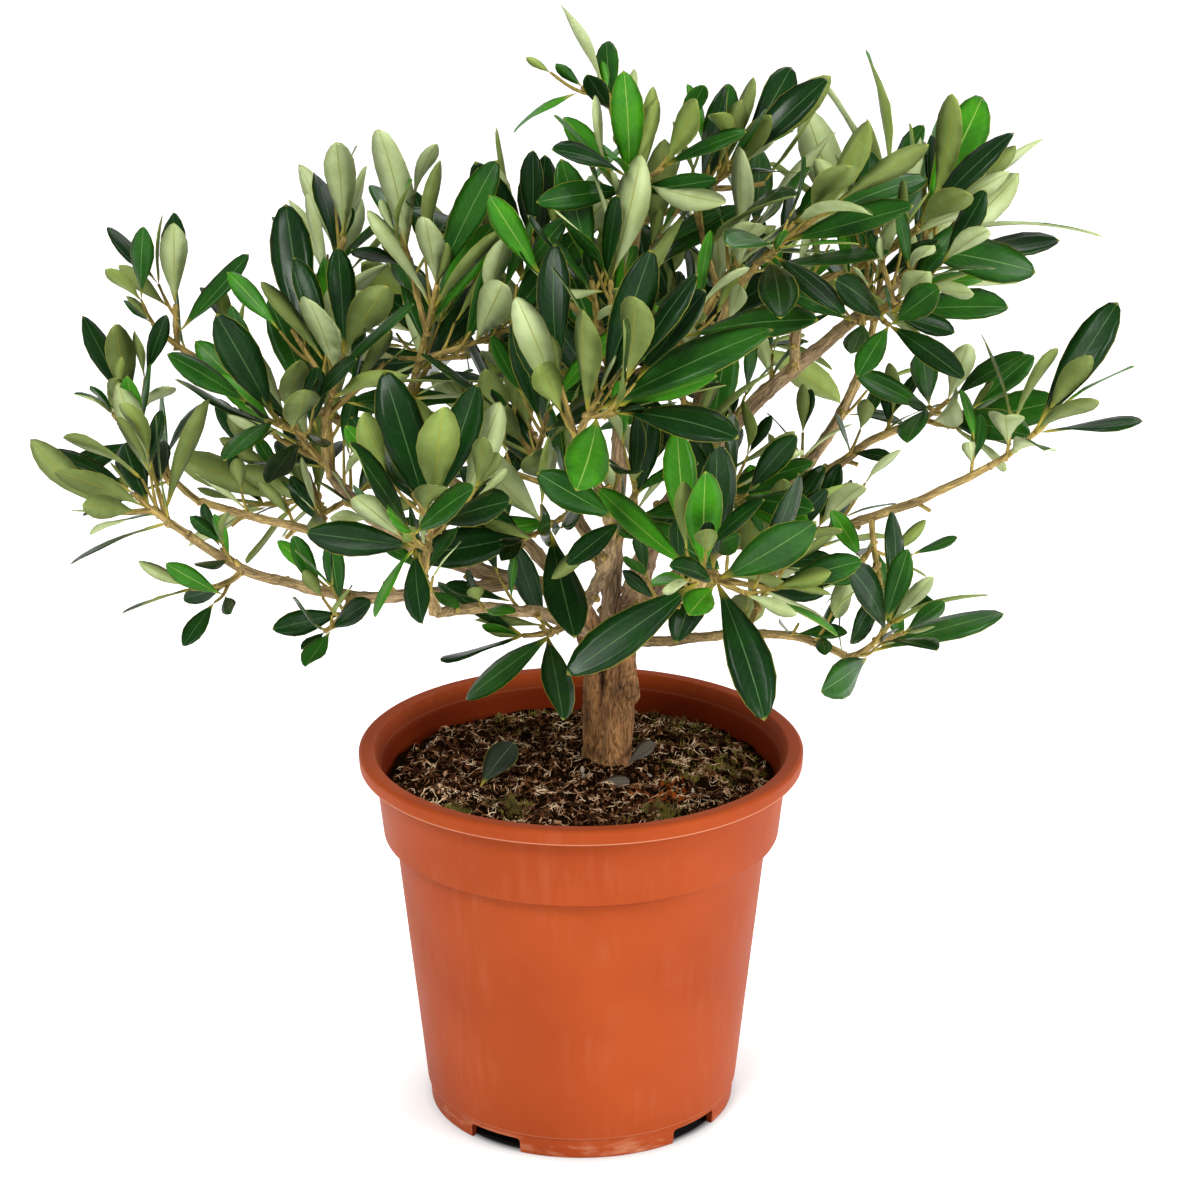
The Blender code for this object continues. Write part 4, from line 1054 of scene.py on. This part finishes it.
def slab_tree(leaf, begins, margin):
    """The search tree of a flat slab that holds a leaf from a share of its length on."""
    above = LEAF_THICK / 2 + margin
    ends = 1 + margin / leaf.length
    rows = [(begins, 0.5), *LEAF_SHOULDERS, (ends, 0.12)]
    corners = [
        leaf_point(leaf, share, side * (width * leaf.width / 2 + margin), height)
        for share, width in rows
        for side, height in ((-1, -above), (1, -above), (1, above), (-1, above))
    ]
    return BVHTree.FromPolygons(corners, prism_faces(len(rows), 4))


def shoot_tree(shoot, begins, margin):
    """The search tree of a square tube round a shoot from a share of its length on."""
    steps = 2 * (len(shoot.points) - 1)
    corners = []
    for i in range(steps + 1):
        share = begins + (1 - begins) * i / steps
        place, axis = along(shoot.points, share)
        radius = SQUARED * (shoot.radii[0] + (shoot.radii[-1] - shoot.radii[0]) * share) + margin
        across = axis.orthogonal().normalized()
        other = axis.cross(across)
        corners += [place + radius * spoke for spoke in (across, other, -across, -other)]
    return BVHTree.FromPolygons(corners, prism_faces(steps + 1, 4))


def clear(trees, centre, radius, owner, taken):
    """Whether a new piece keeps clear of all that has grown. Its first search tree is tried against its own
    mass, where less of it counts, and its second against the others."""
    own, others = trees
    for body in taken:
        if (body.centre - centre).length > body.radius + radius:
            continue
        if (own if body.owner == owner else others).overlap(body.tree):
            return False
    return True


def spread(points):
    """The centre and radius of a ball round some points."""
    centre = sum(points, Vector()) / len(points)
    return centre, max((p - centre).length for p in points)


def shoot_body(owner, shoot):
    """A shoot as something that others keep clear of."""
    centre, radius = spread(shoot.points)
    return Body(owner, centre, radius + shoot.radii[0], shoot_tree(shoot, 0, 0))


def space_of(stem, mass):
    """The ball that a mass keeps to: its centre and radius."""
    return stem.points[0].lerp(stem.points[-1], 0.55), 0.55 * mass.reach + ROOM_SHARE * mass.leaf


def leaf_grows(name, leaf, space, margin, stranger_start, taken):
    """Whether a leaf stays in its mass's space and touches nothing. It is then added to taken."""
    middle, room = space
    tip = leaf_point(leaf, 1)
    low = min(tip.z, leaf_point(leaf, 0.6).z)
    if (tip - middle).length > room or abs(tip.y) > CROWN_DEPTH / 2 or low < LOWEST_LEAF:
        return False
    trees = slab_tree(leaf, SIBLING_START, margin), slab_tree(leaf, stranger_start, margin)
    centre = leaf_point(leaf, 0.5)
    radius = leaf.length / 2 + 2 * margin
    if not clear(trees, centre, radius, name, taken):
        return False
    taken.append(Body(name, centre, radius, slab_tree(leaf, SIBLING_START, 0)))
    return True


def grow(name, stem, taken):
    """A mass's shoots and leaves. One that would leave the mass's space, or touch anything that has
    grown already, is skipped. Those that grow are added to taken."""
    mass = MASSES[name]
    dice = random.Random(mass.seed)
    space = space_of(stem, mass)
    shoots = [stem]
    for twig in twigs_of(stem, mass, dice):
        trees = shoot_tree(twig, TWIG_CLEAR_FROM, CLEARANCE), shoot_tree(twig, 0, CLEARANCE)
        centre, radius = spread(twig.points)
        if clear(trees, centre, radius + CLEARANCE + TWIG_THICK, name, taken):
            shoots.append(twig)
            taken.append(shoot_body(name, twig))
    leaves = [
        leaf
        for shoot in shoots
        for leaf in leaves_of(shoot, mass, dice)
        if leaf_grows(name, leaf, space, CLEARANCE, STRANGER_START, taken)
    ]
    return shoots, leaves


# this year's side shoots, which the solids leave out
SHOOT_SPACING = 9.0
SHOOT_LENGTH = (9.0, 24.0)
SHOOT_THICK = (1.7, 1.1)
SHOOT_STEPS = 3
SHOOT_ANGLE = 44
SHOOT_CLEARANCE = 0.5
SHOOT_CLEAR_FROM = 0.2
YOUNG_LEAF = 0.8  # of the mass's full leaf
YOUNG_OPEN = 0.75  # how far young leaves have opened, as a share of the full angle
YOUNG_START = 0.16  # young leaves may touch strangers up to this share of their length
SHOOT_LIFT = 0.8
BUD_LEAF = 0.4
BUD_ANGLES = (8, 20)
BUD_ROOM = 1.1  # of the mass's space
SPURS = 3  # short leafy shoots on the bare outer part of each bough
SPUR_LEAF = 30
SPUR_FROM = 0.4
SPUR_ROOM = 70


def side_shoot(name, points, share, mass, space, dice, taken, neighbours):
    """A short side shoot that turns up to the light, and its young leaves, each in a list. Both lists are
    empty where there is no room for the shoot among its neighbours, or for any leaf on it."""
    start, axis = along(points, share)
    opening = math.radians(SHOOT_ANGLE + dice.uniform(-12, 12))
    heads = opened(axis, turned_about(axis, dice.uniform(0, 360)), opening)
    tip = start + dice.uniform(*SHOOT_LENGTH) * (heads + SHOOT_LIFT * UP).normalized()
    route = bend(start, heads, tip, heads + SHOOT_LIFT * UP, SHOOT_STEPS)
    shoot = Shoot(route, tapering(SHOOT_THICK[0] / 2, SHOOT_THICK[1] / 2, SHOOT_STEPS))
    trees = [shoot_tree(shoot, begins, SHOOT_CLEARANCE) for begins in (TWIG_CLEAR_FROM, SHOOT_CLEAR_FROM)]
    centre, radius = spread(route)
    radius += SHOOT_CLEARANCE + SHOOT_THICK[0]
    if tip.z < LOWEST_LEAF or not clear(trees, centre, radius, name, neighbours):
        return [], []
    leaves = [
        leaf
        for leaf in leaves_of(shoot, mass, dice, YOUNG_OPEN)
        if leaf_grows(name, leaf, space, SHOOT_CLEARANCE, YOUNG_START, taken)
    ]
    if not leaves:
        return [], []
    taken.append(shoot_body(name, shoot))
    return [shoot], leaves


def grow_finer(name, shoots, taken):
    """The side shoots of one mass with their small leaves, and the bud at the end of every shoot."""
    mass = MASSES[name]
    dice = random.Random(1000 + mass.seed)
    middle, room = space_of(shoots[0], mass)
    young = mass._replace(leaf=YOUNG_LEAF * mass.leaf)
    small_shoots, small_leaves = [], []
    for shoot in shoots:
        count = max(1, round(route_length(shoot.points) / SHOOT_SPACING))
        for i in range(count):
            share = min(0.15 + 0.8 * (i + dice.uniform(0.2, 0.8)) / count, 0.95)
            made = side_shoot(name, shoot.points, share, young, (middle, room), dice, taken, taken)
            small_shoots += made[0]
            small_leaves += made[1]
    for shoot in shoots + small_shoots:
        tip, axis = along(shoot.points, 0.99)
        across = turned_about(axis, dice.uniform(0, 360))
        for side in (1, -1):
            heads = opened(axis, side * across, math.radians(dice.uniform(*BUD_ANGLES)))
            size = BUD_LEAF * mass.leaf * dice.uniform(0.7, 1.2)
            facing = square_to(heads, (-side * across + 0.3 * axis).normalized())
            bud = Leaf(tip, heads, facing, size, size * LEAF_WIDTH, dice.uniform(-0.5, -0.1))
            if leaf_grows(name, bud, (middle, BUD_ROOM * room), SHOOT_CLEARANCE, YOUNG_START, taken):
                small_leaves.append(bud)
    return small_shoots, small_leaves


def grow_spurs(name, seed, taken):
    """Short leafy shoots on the outer part of a bough."""
    dice = random.Random(2000 + seed)
    points = routes[name].points
    stand_in = Mass(name, 0, (0, 0, 1), 0, 0, SPUR_LEAF, seed)
    shoots, leaves = [], []
    for i in range(SPURS):
        share = SPUR_FROM + (0.97 - SPUR_FROM) * (i + dice.random()) / SPURS
        space = along(points, share)[0], SPUR_ROOM
        others = [body for body in taken if body.owner != name]
        made = side_shoot(name, points, share, stand_in, space, dice, taken, others)
        shoots += made[0]
        leaves += made[1]
    return shoots, leaves


stems = {name: stem_of(mass, routes) for name, mass in MASSES.items()}
taken = [shoot_body(name, shoot) for name, shoot in {**routes, **stems}.items()]
grown = {name: Growth(stem.points[-1], *grow(name, stem, taken), [], []) for name, stem in stems.items()}
for name, growth in grown.items():
    small_shoots, small_leaves = grow_finer(name, growth.shoots, taken)
    growth.small_shoots.extend(small_shoots)
    growth.small_leaves.extend(small_leaves)
for seed, name in enumerate(BOUGHS):
    grown[name] = Growth(routes[name].points[-1], [], [], *grow_spurs(name, seed, taken))

CROWN_PARTS = ("left", "centre", "right")
LEFT_EDGE = -45
RIGHT_EDGE = 60


def side_of(growth):
    """The part of the crown that a mass is in."""
    if growth.at.x < LEFT_EDGE:
        return "left"
    return "right" if growth.at.x > RIGHT_EDGE else "centre"


# ---------------------------------------------------------------- twigs
# Two-year twigs are tan and woody, and this year's shoots are yellow-green and slightly ribbed. Both are a
# little swollen where each pair of leaves stands.

TWIG_ROUND = 7
TWIG_RING = 2.2
NODE_SWELL = 0.28
ROOTED = 1.6  # how far a twig goes into what carries it


def twig_relief(unit, travelled, radius):
    """The swelling of a twig at its leaf pairs."""
    from_node = (travelled + NODE_SPACING / 3) % (NODE_SPACING * 0.7) - NODE_SPACING * 0.35
    return radius * NODE_SWELL * math.exp(-((from_node / 1.1) ** 2)) * (0.5 + abs(unit.x))


def finer_shoot(shoot, step):
    """A shoot with closer rings, smoothed, and rooted in what carries it."""
    points, radii = shoot
    first = (points[1] - points[0]).normalized()
    last = (points[-1] - points[-2]).normalized()
    length = route_length(points)
    count = max(3, round(length / step))
    handles = points[0] + length / 3 * first, points[-1] - length / 3 * last
    smooth = interpolate_bezier(points[0], *handles, points[-1], count + 1)
    wide = tapering(radii[0], radii[-1], count)
    return Shoot([points[0] - ROOTED * first, *smooth], [radii[0] * 1.1, *wide])


for side in CROWN_PARTS:
    twigs_bm = bmesh.new()
    for growth in grown.values():
        if side_of(growth) != side:
            continue
        for shoot in growth.shoots:
            gather(twigs_bm, tube(finer_shoot(shoot, TWIG_RING), TWIG_ROUND, twig_relief))
        for shoot in growth.small_shoots:
            gather(twigs_bm, tube(finer_shoot(shoot, 2 * TWIG_RING), TWIG_ROUND - 2, twig_relief))
    twigs = piece(f"twigs_{side}", twigs_bm, olive_bark)
    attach(twigs, "root")

# ---------------------------------------------------------------- leaves
# Leathery evergreen olive leaves on short stalks: dark glossy green above, with a pale rib and a thin yellow
# edge, and matt sage below. Each is folded a little along its rib, and the youngest are the brightest.

# share of the length, share of the half width
LEAF_OUTLINE = (
    (0, 0),
    (0.08, 0.08),
    (0.19, 0.24),
    (0.32, 0.54),
    (0.47, 0.84),
    (0.62, 1.0),
    (0.76, 0.95),
    (0.88, 0.68),
    (0.96, 0.34),
    (1, 0),
)
SMALL_LEAF_OUTLINE = ((0, 0), (0.14, 0.16), (0.34, 0.6), (0.58, 1.0), (0.76, 0.94), (0.9, 0.6), (1, 0))
BLADE_THICK = 0.011  # of the leaf's length
STALK_THICK = 1.3
GROWN_ON = (1.07, 0.93)  # how much longer and wider than its solid a full leaf is
SMALL = 20.0  # leaves shorter than this take the simpler shape
# paler sprays at the crown's top stand for painted light and darker ones low down for painted shade, besides
# the leaves' own variety
DARKEST, PALEST = 0.05, 0.85  # share of paler sprays low in the crown and at its top
LOW_SPRAY = 260
HIGH_SPRAY = 390
# share of the leaves at the crown's top that have turned right over on their stalks
TURNED = {"left": 0.25, "centre": 0.32, "right": 0.0}


def leaf_template(name, outline, columns):
    """A flat closed leaf whose vertices hold the shares of its length, half width and half thickness. Its
    upper faces take the first material and its lower faces the second."""
    bm = bmesh.new()
    uv = bm.loops.layers.uv.new("leaf")
    rows = len(outline) - 1
    for side, count in ((1, columns), (-1, 2)):
        made = bmesh.ops.create_grid(bm, x_segments=rows, y_segments=count, size=0.5)["verts"]
        for v in made:
            row = round((v.co.x + 0.5) * rows)
            across = 2 * v.co.y if 0 < row < rows else 0
            thick = 0 if row in (0, rows) else side * (1 - across**2)
            v.co = (outline[row][0], across, thick)
        for face in {f for v in made for f in v.link_faces}:
            face.material_index = 0 if side == 1 else 1
            face.smooth = True
    bmesh.ops.remove_doubles(bm, verts=bm.verts, dist=0.001)
    bmesh.ops.recalc_face_normals(bm, faces=bm.faces)
    for face in bm.faces:
        for loop in face.loops:
            loop[uv].uv = (0.5 + 0.5 * loop.vert.co.y, loop.vert.co.x)
    mesh = bpy.data.meshes.new(name)
    bm.to_mesh(mesh)
    bm.free()
    return mesh


def half_width(outline, share):
    """The half width of a leaf's outline at one of its rows."""
    return next(wide for at, wide in outline if abs(at - share) < 1e-3)


def lay_leaf(bm, shape, leaf, dice, tint, turned=0.0):
    """Adds a leaf: folded along its rib, curled along its length, twisted and bent a little aside."""
    template, outline = shape
    fold = dice.uniform(0.14, 0.46)
    recurve = dice.uniform(0.1, 0.3)
    twist = dice.uniform(-0.6, 0.6)
    aside = dice.uniform(-0.06, 0.06) * leaf.length
    wave = dice.uniform(0.0, 0.025) * leaf.length
    phase = dice.uniform(0, math.tau)
    rolled = math.pi if phase < math.tau * turned else 0
    first_vert, first_face = len(bm.verts), len(bm.faces)
    bm.from_mesh(template)
    bm.verts.ensure_lookup_table()
    bm.faces.ensure_lookup_table()
    for v in bm.verts[first_vert:]:
        share, across, thick = v.co
        wide = half_width(outline, share) * leaf.width / 2
        out = across * wide
        height = thick * BLADE_THICK * leaf.length / 2
        if share < 0.2 and thick:
            height = math.copysign(STALK_THICK / 2 * min(1, leaf.length / 40), thick) * abs(thick)
        height += fold * abs(out) - recurve * out * out / max(leaf.width, 1) * 2
        height += wave * across * math.sin(math.tau * 1.3 * share + phase) * (0.3 if across > 0 else 1)
        turn = twist * (share - 0.2) + rolled
        sideways = out * math.cos(turn) - height * math.sin(turn) + aside * share**2
        v.co = leaf_point(leaf, share, sideways, out * math.sin(turn) + height * math.cos(turn))
    for face in bm.faces[first_face:]:
        face.material_index = 2 * tint + face.material_index


def leaf_finish(name, blade, shade, rib, rib_width, vein, roughness, edge="#a8a440", stalk_shade="#b3a23a"):
    """One side of a leaf: its blade mottled with a shade, its rib, its side veins and its thin edge."""
    made, tree, shader = finish(name, Specular_IOR_Level=0.17)
    spot = node(tree, "TexCoord").outputs["Object"]
    split = node(tree, "SeparateXYZ", {0: node(tree, "UVMap", uv_map="leaf")})
    sideways, lengthwise = split.outputs["X"], split.outputs["Y"]
    centred = node(tree, "Math", {0: sideways, 1: 0.5}, operation="SUBTRACT")
    across = node(tree, "Math", {0: centred}, operation="ABSOLUTE")
    mottle = node(tree, "TexNoise", {"Vector": spot, "Scale": 60.0, "Detail": 4.0})
    mottled = node(tree, "MapRange", {0: mottle, 1: 0.38, 2: 0.64})
    body = node(tree, "Mix", {0: mottled, 6: linear(blade), 7: linear(shade)}, data_type="RGBA")
    slant = node(tree, "Math", {0: across, 1: -9.0}, operation="MULTIPLY")
    rank = node(tree, "Math", {0: lengthwise, 1: 26.0, 2: slant}, operation="MULTIPLY_ADD")
    beat = node(tree, "Math", {0: rank, 1: 1.0}, operation="PINGPONG")
    veins = node(tree, "MapRange", {0: beat, 1: 0.7, 2: 1.0, 3: 0.0, 4: vein})
    veined = node(tree, "Mix", {0: veins, 6: body, 7: linear(rib)}, data_type="RGBA")
    rib_mask = node(tree, "MapRange", {0: across, 1: rib_width * 1.9, 2: rib_width})
    ribbed = node(tree, "Mix", {0: rib_mask, 6: veined, 7: linear(rib)}, data_type="RGBA")
    stalk = node(tree, "MapRange", {0: lengthwise, 1: 0.2, 2: 0.06})
    stalked = node(tree, "Mix", {0: stalk, 6: ribbed, 7: linear(stalk_shade)}, data_type="RGBA")
    rim = node(tree, "MapRange", {0: across, 1: 0.47, 2: 0.492, 3: 0.0, 4: 0.75})
    point = node(tree, "MapRange", {0: lengthwise, 1: 0.975, 2: 0.99, 3: 0.0, 4: 0.75})
    outer = node(tree, "Math", {0: rim, 1: point}, operation="MAXIMUM")
    edged = node(tree, "Mix", {0: outer, 6: stalked, 7: linear(edge)}, data_type="RGBA")
    sheen = node(tree, "MapRange", {0: mottle, 1: 0.3, 2: 0.7, 3: roughness - 0.06, 4: roughness + 0.1})
    sunk = node(tree, "Math", {0: rib_mask, 1: -1.0, 2: veins}, operation="MULTIPLY_ADD")
    relief = node(tree, "Bump", {"Height": sunk, "Strength": 0.5, "Distance": 0.0003})
    feed(shader, {"Base Color": edged, "Roughness": sheen, "Normal": relief})
    return made


# Waxy and leathery above, so it shines; felted with fine scales below, so it is pale and matt.
# the first pair, dark above and sage below, is a darker copy, painted shade; the second, paler, is painted
# light; the third is the young leaves
leaf_finishes = [
    leaf_finish("olive leaf, dark upper side, partly painted shade", "#12360d", "#0a280a", "#47683a", 0.01, 0.07, 0.27),
    leaf_finish("olive leaf, sage underside, darkened as painted shade", "#80914f", "#67763b", "#8b8936", 0.011, 0.1, 0.62),
    leaf_finish("olive leaf, green upper side", "#265a15", "#184410", "#5f8644", 0.01, 0.08, 0.29),
    leaf_finish("olive leaf, pale underside", "#bccb94", "#a3b377", "#9c9d48", 0.011, 0.1, 0.62),
    leaf_finish("olive leaf, young upper side", "#3f8a15", "#2c6c12", "#84a848", 0.012, 0.1, 0.3),
    leaf_finish("olive leaf, young underside", "#8fa355", "#7a8e43", "#989a3a", 0.012, 0.1, 0.55),
]
full_shape = leaf_template("full_leaf", LEAF_OUTLINE, 4), LEAF_OUTLINE
small_shape = leaf_template("small_leaf", SMALL_LEAF_OUTLINE, 2), SMALL_LEAF_OUTLINE
for side in CROWN_PARTS:
    leaves_bm = bmesh.new()
    stands_for = []
    for seed, (name, growth) in enumerate(grown.items()):
        if side_of(growth) != side:
            continue
        if name in MASSES:
            stands_for.append(name)
        dice = random.Random(3000 + seed)
        # the spray's pair of finishes goes by its height: painted shade low in the crown, painted light at
        # its top
        high = min(1, max(0, (growth.at.z - LOW_SPRAY) / (HIGH_SPRAY - LOW_SPRAY)))
        spray_tint = int(dice.random() < DARKEST + (PALEST - DARKEST) * high)
        spray = bmesh.new()
        longer, wider = GROWN_ON
        full = [
            leaf._replace(length=longer * leaf.length, width=wider * leaf.width) for leaf in growth.leaves
        ]
        full_mix = (70, 24, 4 + 12 * high)  # of the spray's own tint, the other, and young leaves
        small_mix = (48, 30, 16 + 14 * high)
        for kind, mix in ((full, full_mix), (growth.small_leaves, small_mix)):
            for leaf in kind:
                tint = dice.choices((spray_tint, 1 - spray_tint, 2), mix)[0]
                shape = full_shape if leaf.length > SMALL else small_shape
                lay_leaf(spray, shape, leaf, dice, tint, TURNED[side] * high)
        gather(leaves_bm, spray)
    leaves = piece(f"leaves_{side}", leaves_bm, *leaf_finishes)
    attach(leaves, "root")
    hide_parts(*stands_for)

# ---------------------------------------------------------------- roots, moss and fallen leaves
# What lies on the peat: fine dry roots matted over it, cushions of moss where it stays damp, and three fallen
# leaves, two dried grey and one faded.

ROOTS = 2300
ROOT_LENGTH = (2.5, 16.0)
ROOT_RADIUS = (0.07, 0.26)
ROOT_STEPS = 6
ROOT_SIDES = 4
ROOT_CLEAR = 10.0
# where moss grows, and how far it spreads
MOSS_BEDS = (
    (72, 22, 26),
    (47, 58, 26),
    (58, 0, 20),
    (-24, 68, 24),
    (-27, -38, 8),
    (36, -46, 10),
    (-52, -44, 5),
)
MOSS_TUFTS = 360
MOSS_POINTS = 9  # in each tuft
FALLEN = (  # where the stalk is, the way it points, the side that faces up, length, kind: 3 dry, 4 faded
    ((-43.0, -21.0), (0.4, 0.5, 0.5), (-0.15, -0.7, 0.75), 27, 4),
    ((19.5, 0.0), (0.75, 0.35, 0.6), (-0.4, -0.5, 0.8), 16, 3),
    ((7.0, -15.0), (1.0, 0.1, 0.12), (0, -0.3, 1), 14, 3),
)
FALLEN_LIFT = 1.6  # how far a fallen leaf's stalk is above the peat
FALLEN_WIDTH = 0.48  # of its length
FALLEN_CURL = 0.25

# Dead roots: dry, pale tan, a little fibrous.
dry_root, tree, shader = finish("dry root, tan", Roughness=0.85, Specular_IOR_Level=0.15)
spot = node(tree, "TexCoord").outputs["Object"]
patch = node(tree, "TexNoise", {"Vector": spot, "Scale": 150.0, "Detail": 3.0})
tan = node(tree, "ValToRGB", {0: patch}, [(0.42, "#3f2212"), (0.52, "#a4744f"), (0.6, "#fbdcb6")])
feed(shader, {"Base Color": tan})

dice = random.Random(23)
roots_bm = bmesh.new()
for _ in range(ROOTS):
    place = peat_place(dice, 4.0)
    heading = dice.uniform(0, math.tau)
    turning = dice.uniform(-0.75, 0.75)
    length = dice.uniform(*ROOT_LENGTH)
    wide = dice.uniform(*ROOT_RADIUS)
    arch = dice.uniform(0.0, 1.8)
    route = []
    for i in range(ROOT_STEPS + 1):
        rise = wide * 0.6 + arch * math.sin(math.pi * i / ROOT_STEPS) - 0.3
        route.append(Vector((place.x, place.y, peat_height(*place) + rise)))
        heading += turning + dice.uniform(-0.45, 0.45)
        place = place + length / ROOT_STEPS * Vector((math.cos(heading), math.sin(heading)))
        if place.length > PEAT_EDGE - 2:
            place = place.normalized() * (PEAT_EDGE - 2)
    if min((p.xy - TRUNK_FOOT.xy).length for p in route) < ROOT_CLEAR:
        continue
    gather(roots_bm, tube(Shoot(route, tapering(wide, wide * 0.5, ROOT_STEPS)), ROOT_SIDES))
roots = piece("dry_roots", roots_bm, dry_root)
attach(roots, "root")

# Moss: short soft yellow-green points, matt, in darker and brighter patches.
moss_green, tree, shader = finish("moss, yellow-green", Roughness=0.9, Specular_IOR_Level=0.2)
spot = node(tree, "TexCoord").outputs["Object"]
patch = node(tree, "TexNoise", {"Vector": spot, "Scale": 70.0, "Detail": 4.0})
green = node(tree, "ValToRGB", {0: patch}, [(0.35, "#3b3415"), (0.66, "#857c35")])
feed(shader, {"Base Color": green})

moss_bm = bmesh.new()
for _ in range(MOSS_TUFTS):
    x, y, wide = dice.choice(MOSS_BEDS)
    place = Vector((dice.gauss(x, wide / 2), dice.gauss(y, wide / 2)))
    if place.length > PEAT_EDGE - 3 or (place - TRUNK_FOOT.xy).length < TRUNK_CLEAR:
        continue
    tuft = bmesh.new()
    for _ in range(MOSS_POINTS):
        root = place + Vector((dice.gauss(0, 0.9), dice.gauss(0, 0.9)))
        tall = dice.uniform(1.2, 3.4)
        lean = Euler((dice.gauss(0, 0.6), dice.gauss(0, 0.6), 0)).to_matrix().to_4x4()
        at = Matrix.Translation((root.x, root.y, peat_height(*root) - 0.3)) @ lean
        bmesh.ops.create_cone(
            tuft,
            cap_ends=True,
            segments=3,
            radius1=dice.uniform(0.25, 0.55),
            radius2=0.05,
            depth=tall,
            matrix=at @ Matrix.Translation((0, 0, tall / 2)),
        )
    gather(moss_bm, tuft)
moss = piece("moss", moss_bm, moss_green)
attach(moss, "root")

# Dead leaves have lost their wax: grey-brown and matt where they have dried out, dull green where they fade.
fallen_finishes = [
    leaf_finish(
        "fallen leaf, dry upper side", "#524c43", "#403b34", "#6f6759", 0.014, 0.1, 0.6, "#5f584c", "#5f5446"
    ),
    leaf_finish(
        "fallen leaf, dry underside", "#6e675a", "#5a5449", "#7c7363", 0.014, 0.1, 0.7, "#6f6759", "#5f5446"
    ),
    leaf_finish("fallen leaf, faded upper side", "#2b3728", "#1e281c", "#55624a", 0.012, 0.08, 0.5),
    leaf_finish("fallen leaf, faded underside", "#6f7a5c", "#5c6749", "#7a7a50", 0.012, 0.08, 0.65),
]
fallen_bm = bmesh.new()
for (x, y), heads, faces, length, tint in FALLEN:
    heads = Vector(heads).normalized()
    facing = square_to(heads, Vector(faces))
    stalk = Vector((x, y, peat_height(x, y) + FALLEN_LIFT))
    flat = Leaf(stalk, heads, facing, length, FALLEN_WIDTH * length, FALLEN_CURL)
    lay_leaf(fallen_bm, full_shape, flat, dice, tint)
fallen = piece("fallen_leaves", fallen_bm, *leaf_finishes, *fallen_finishes)
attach(fallen, "root")
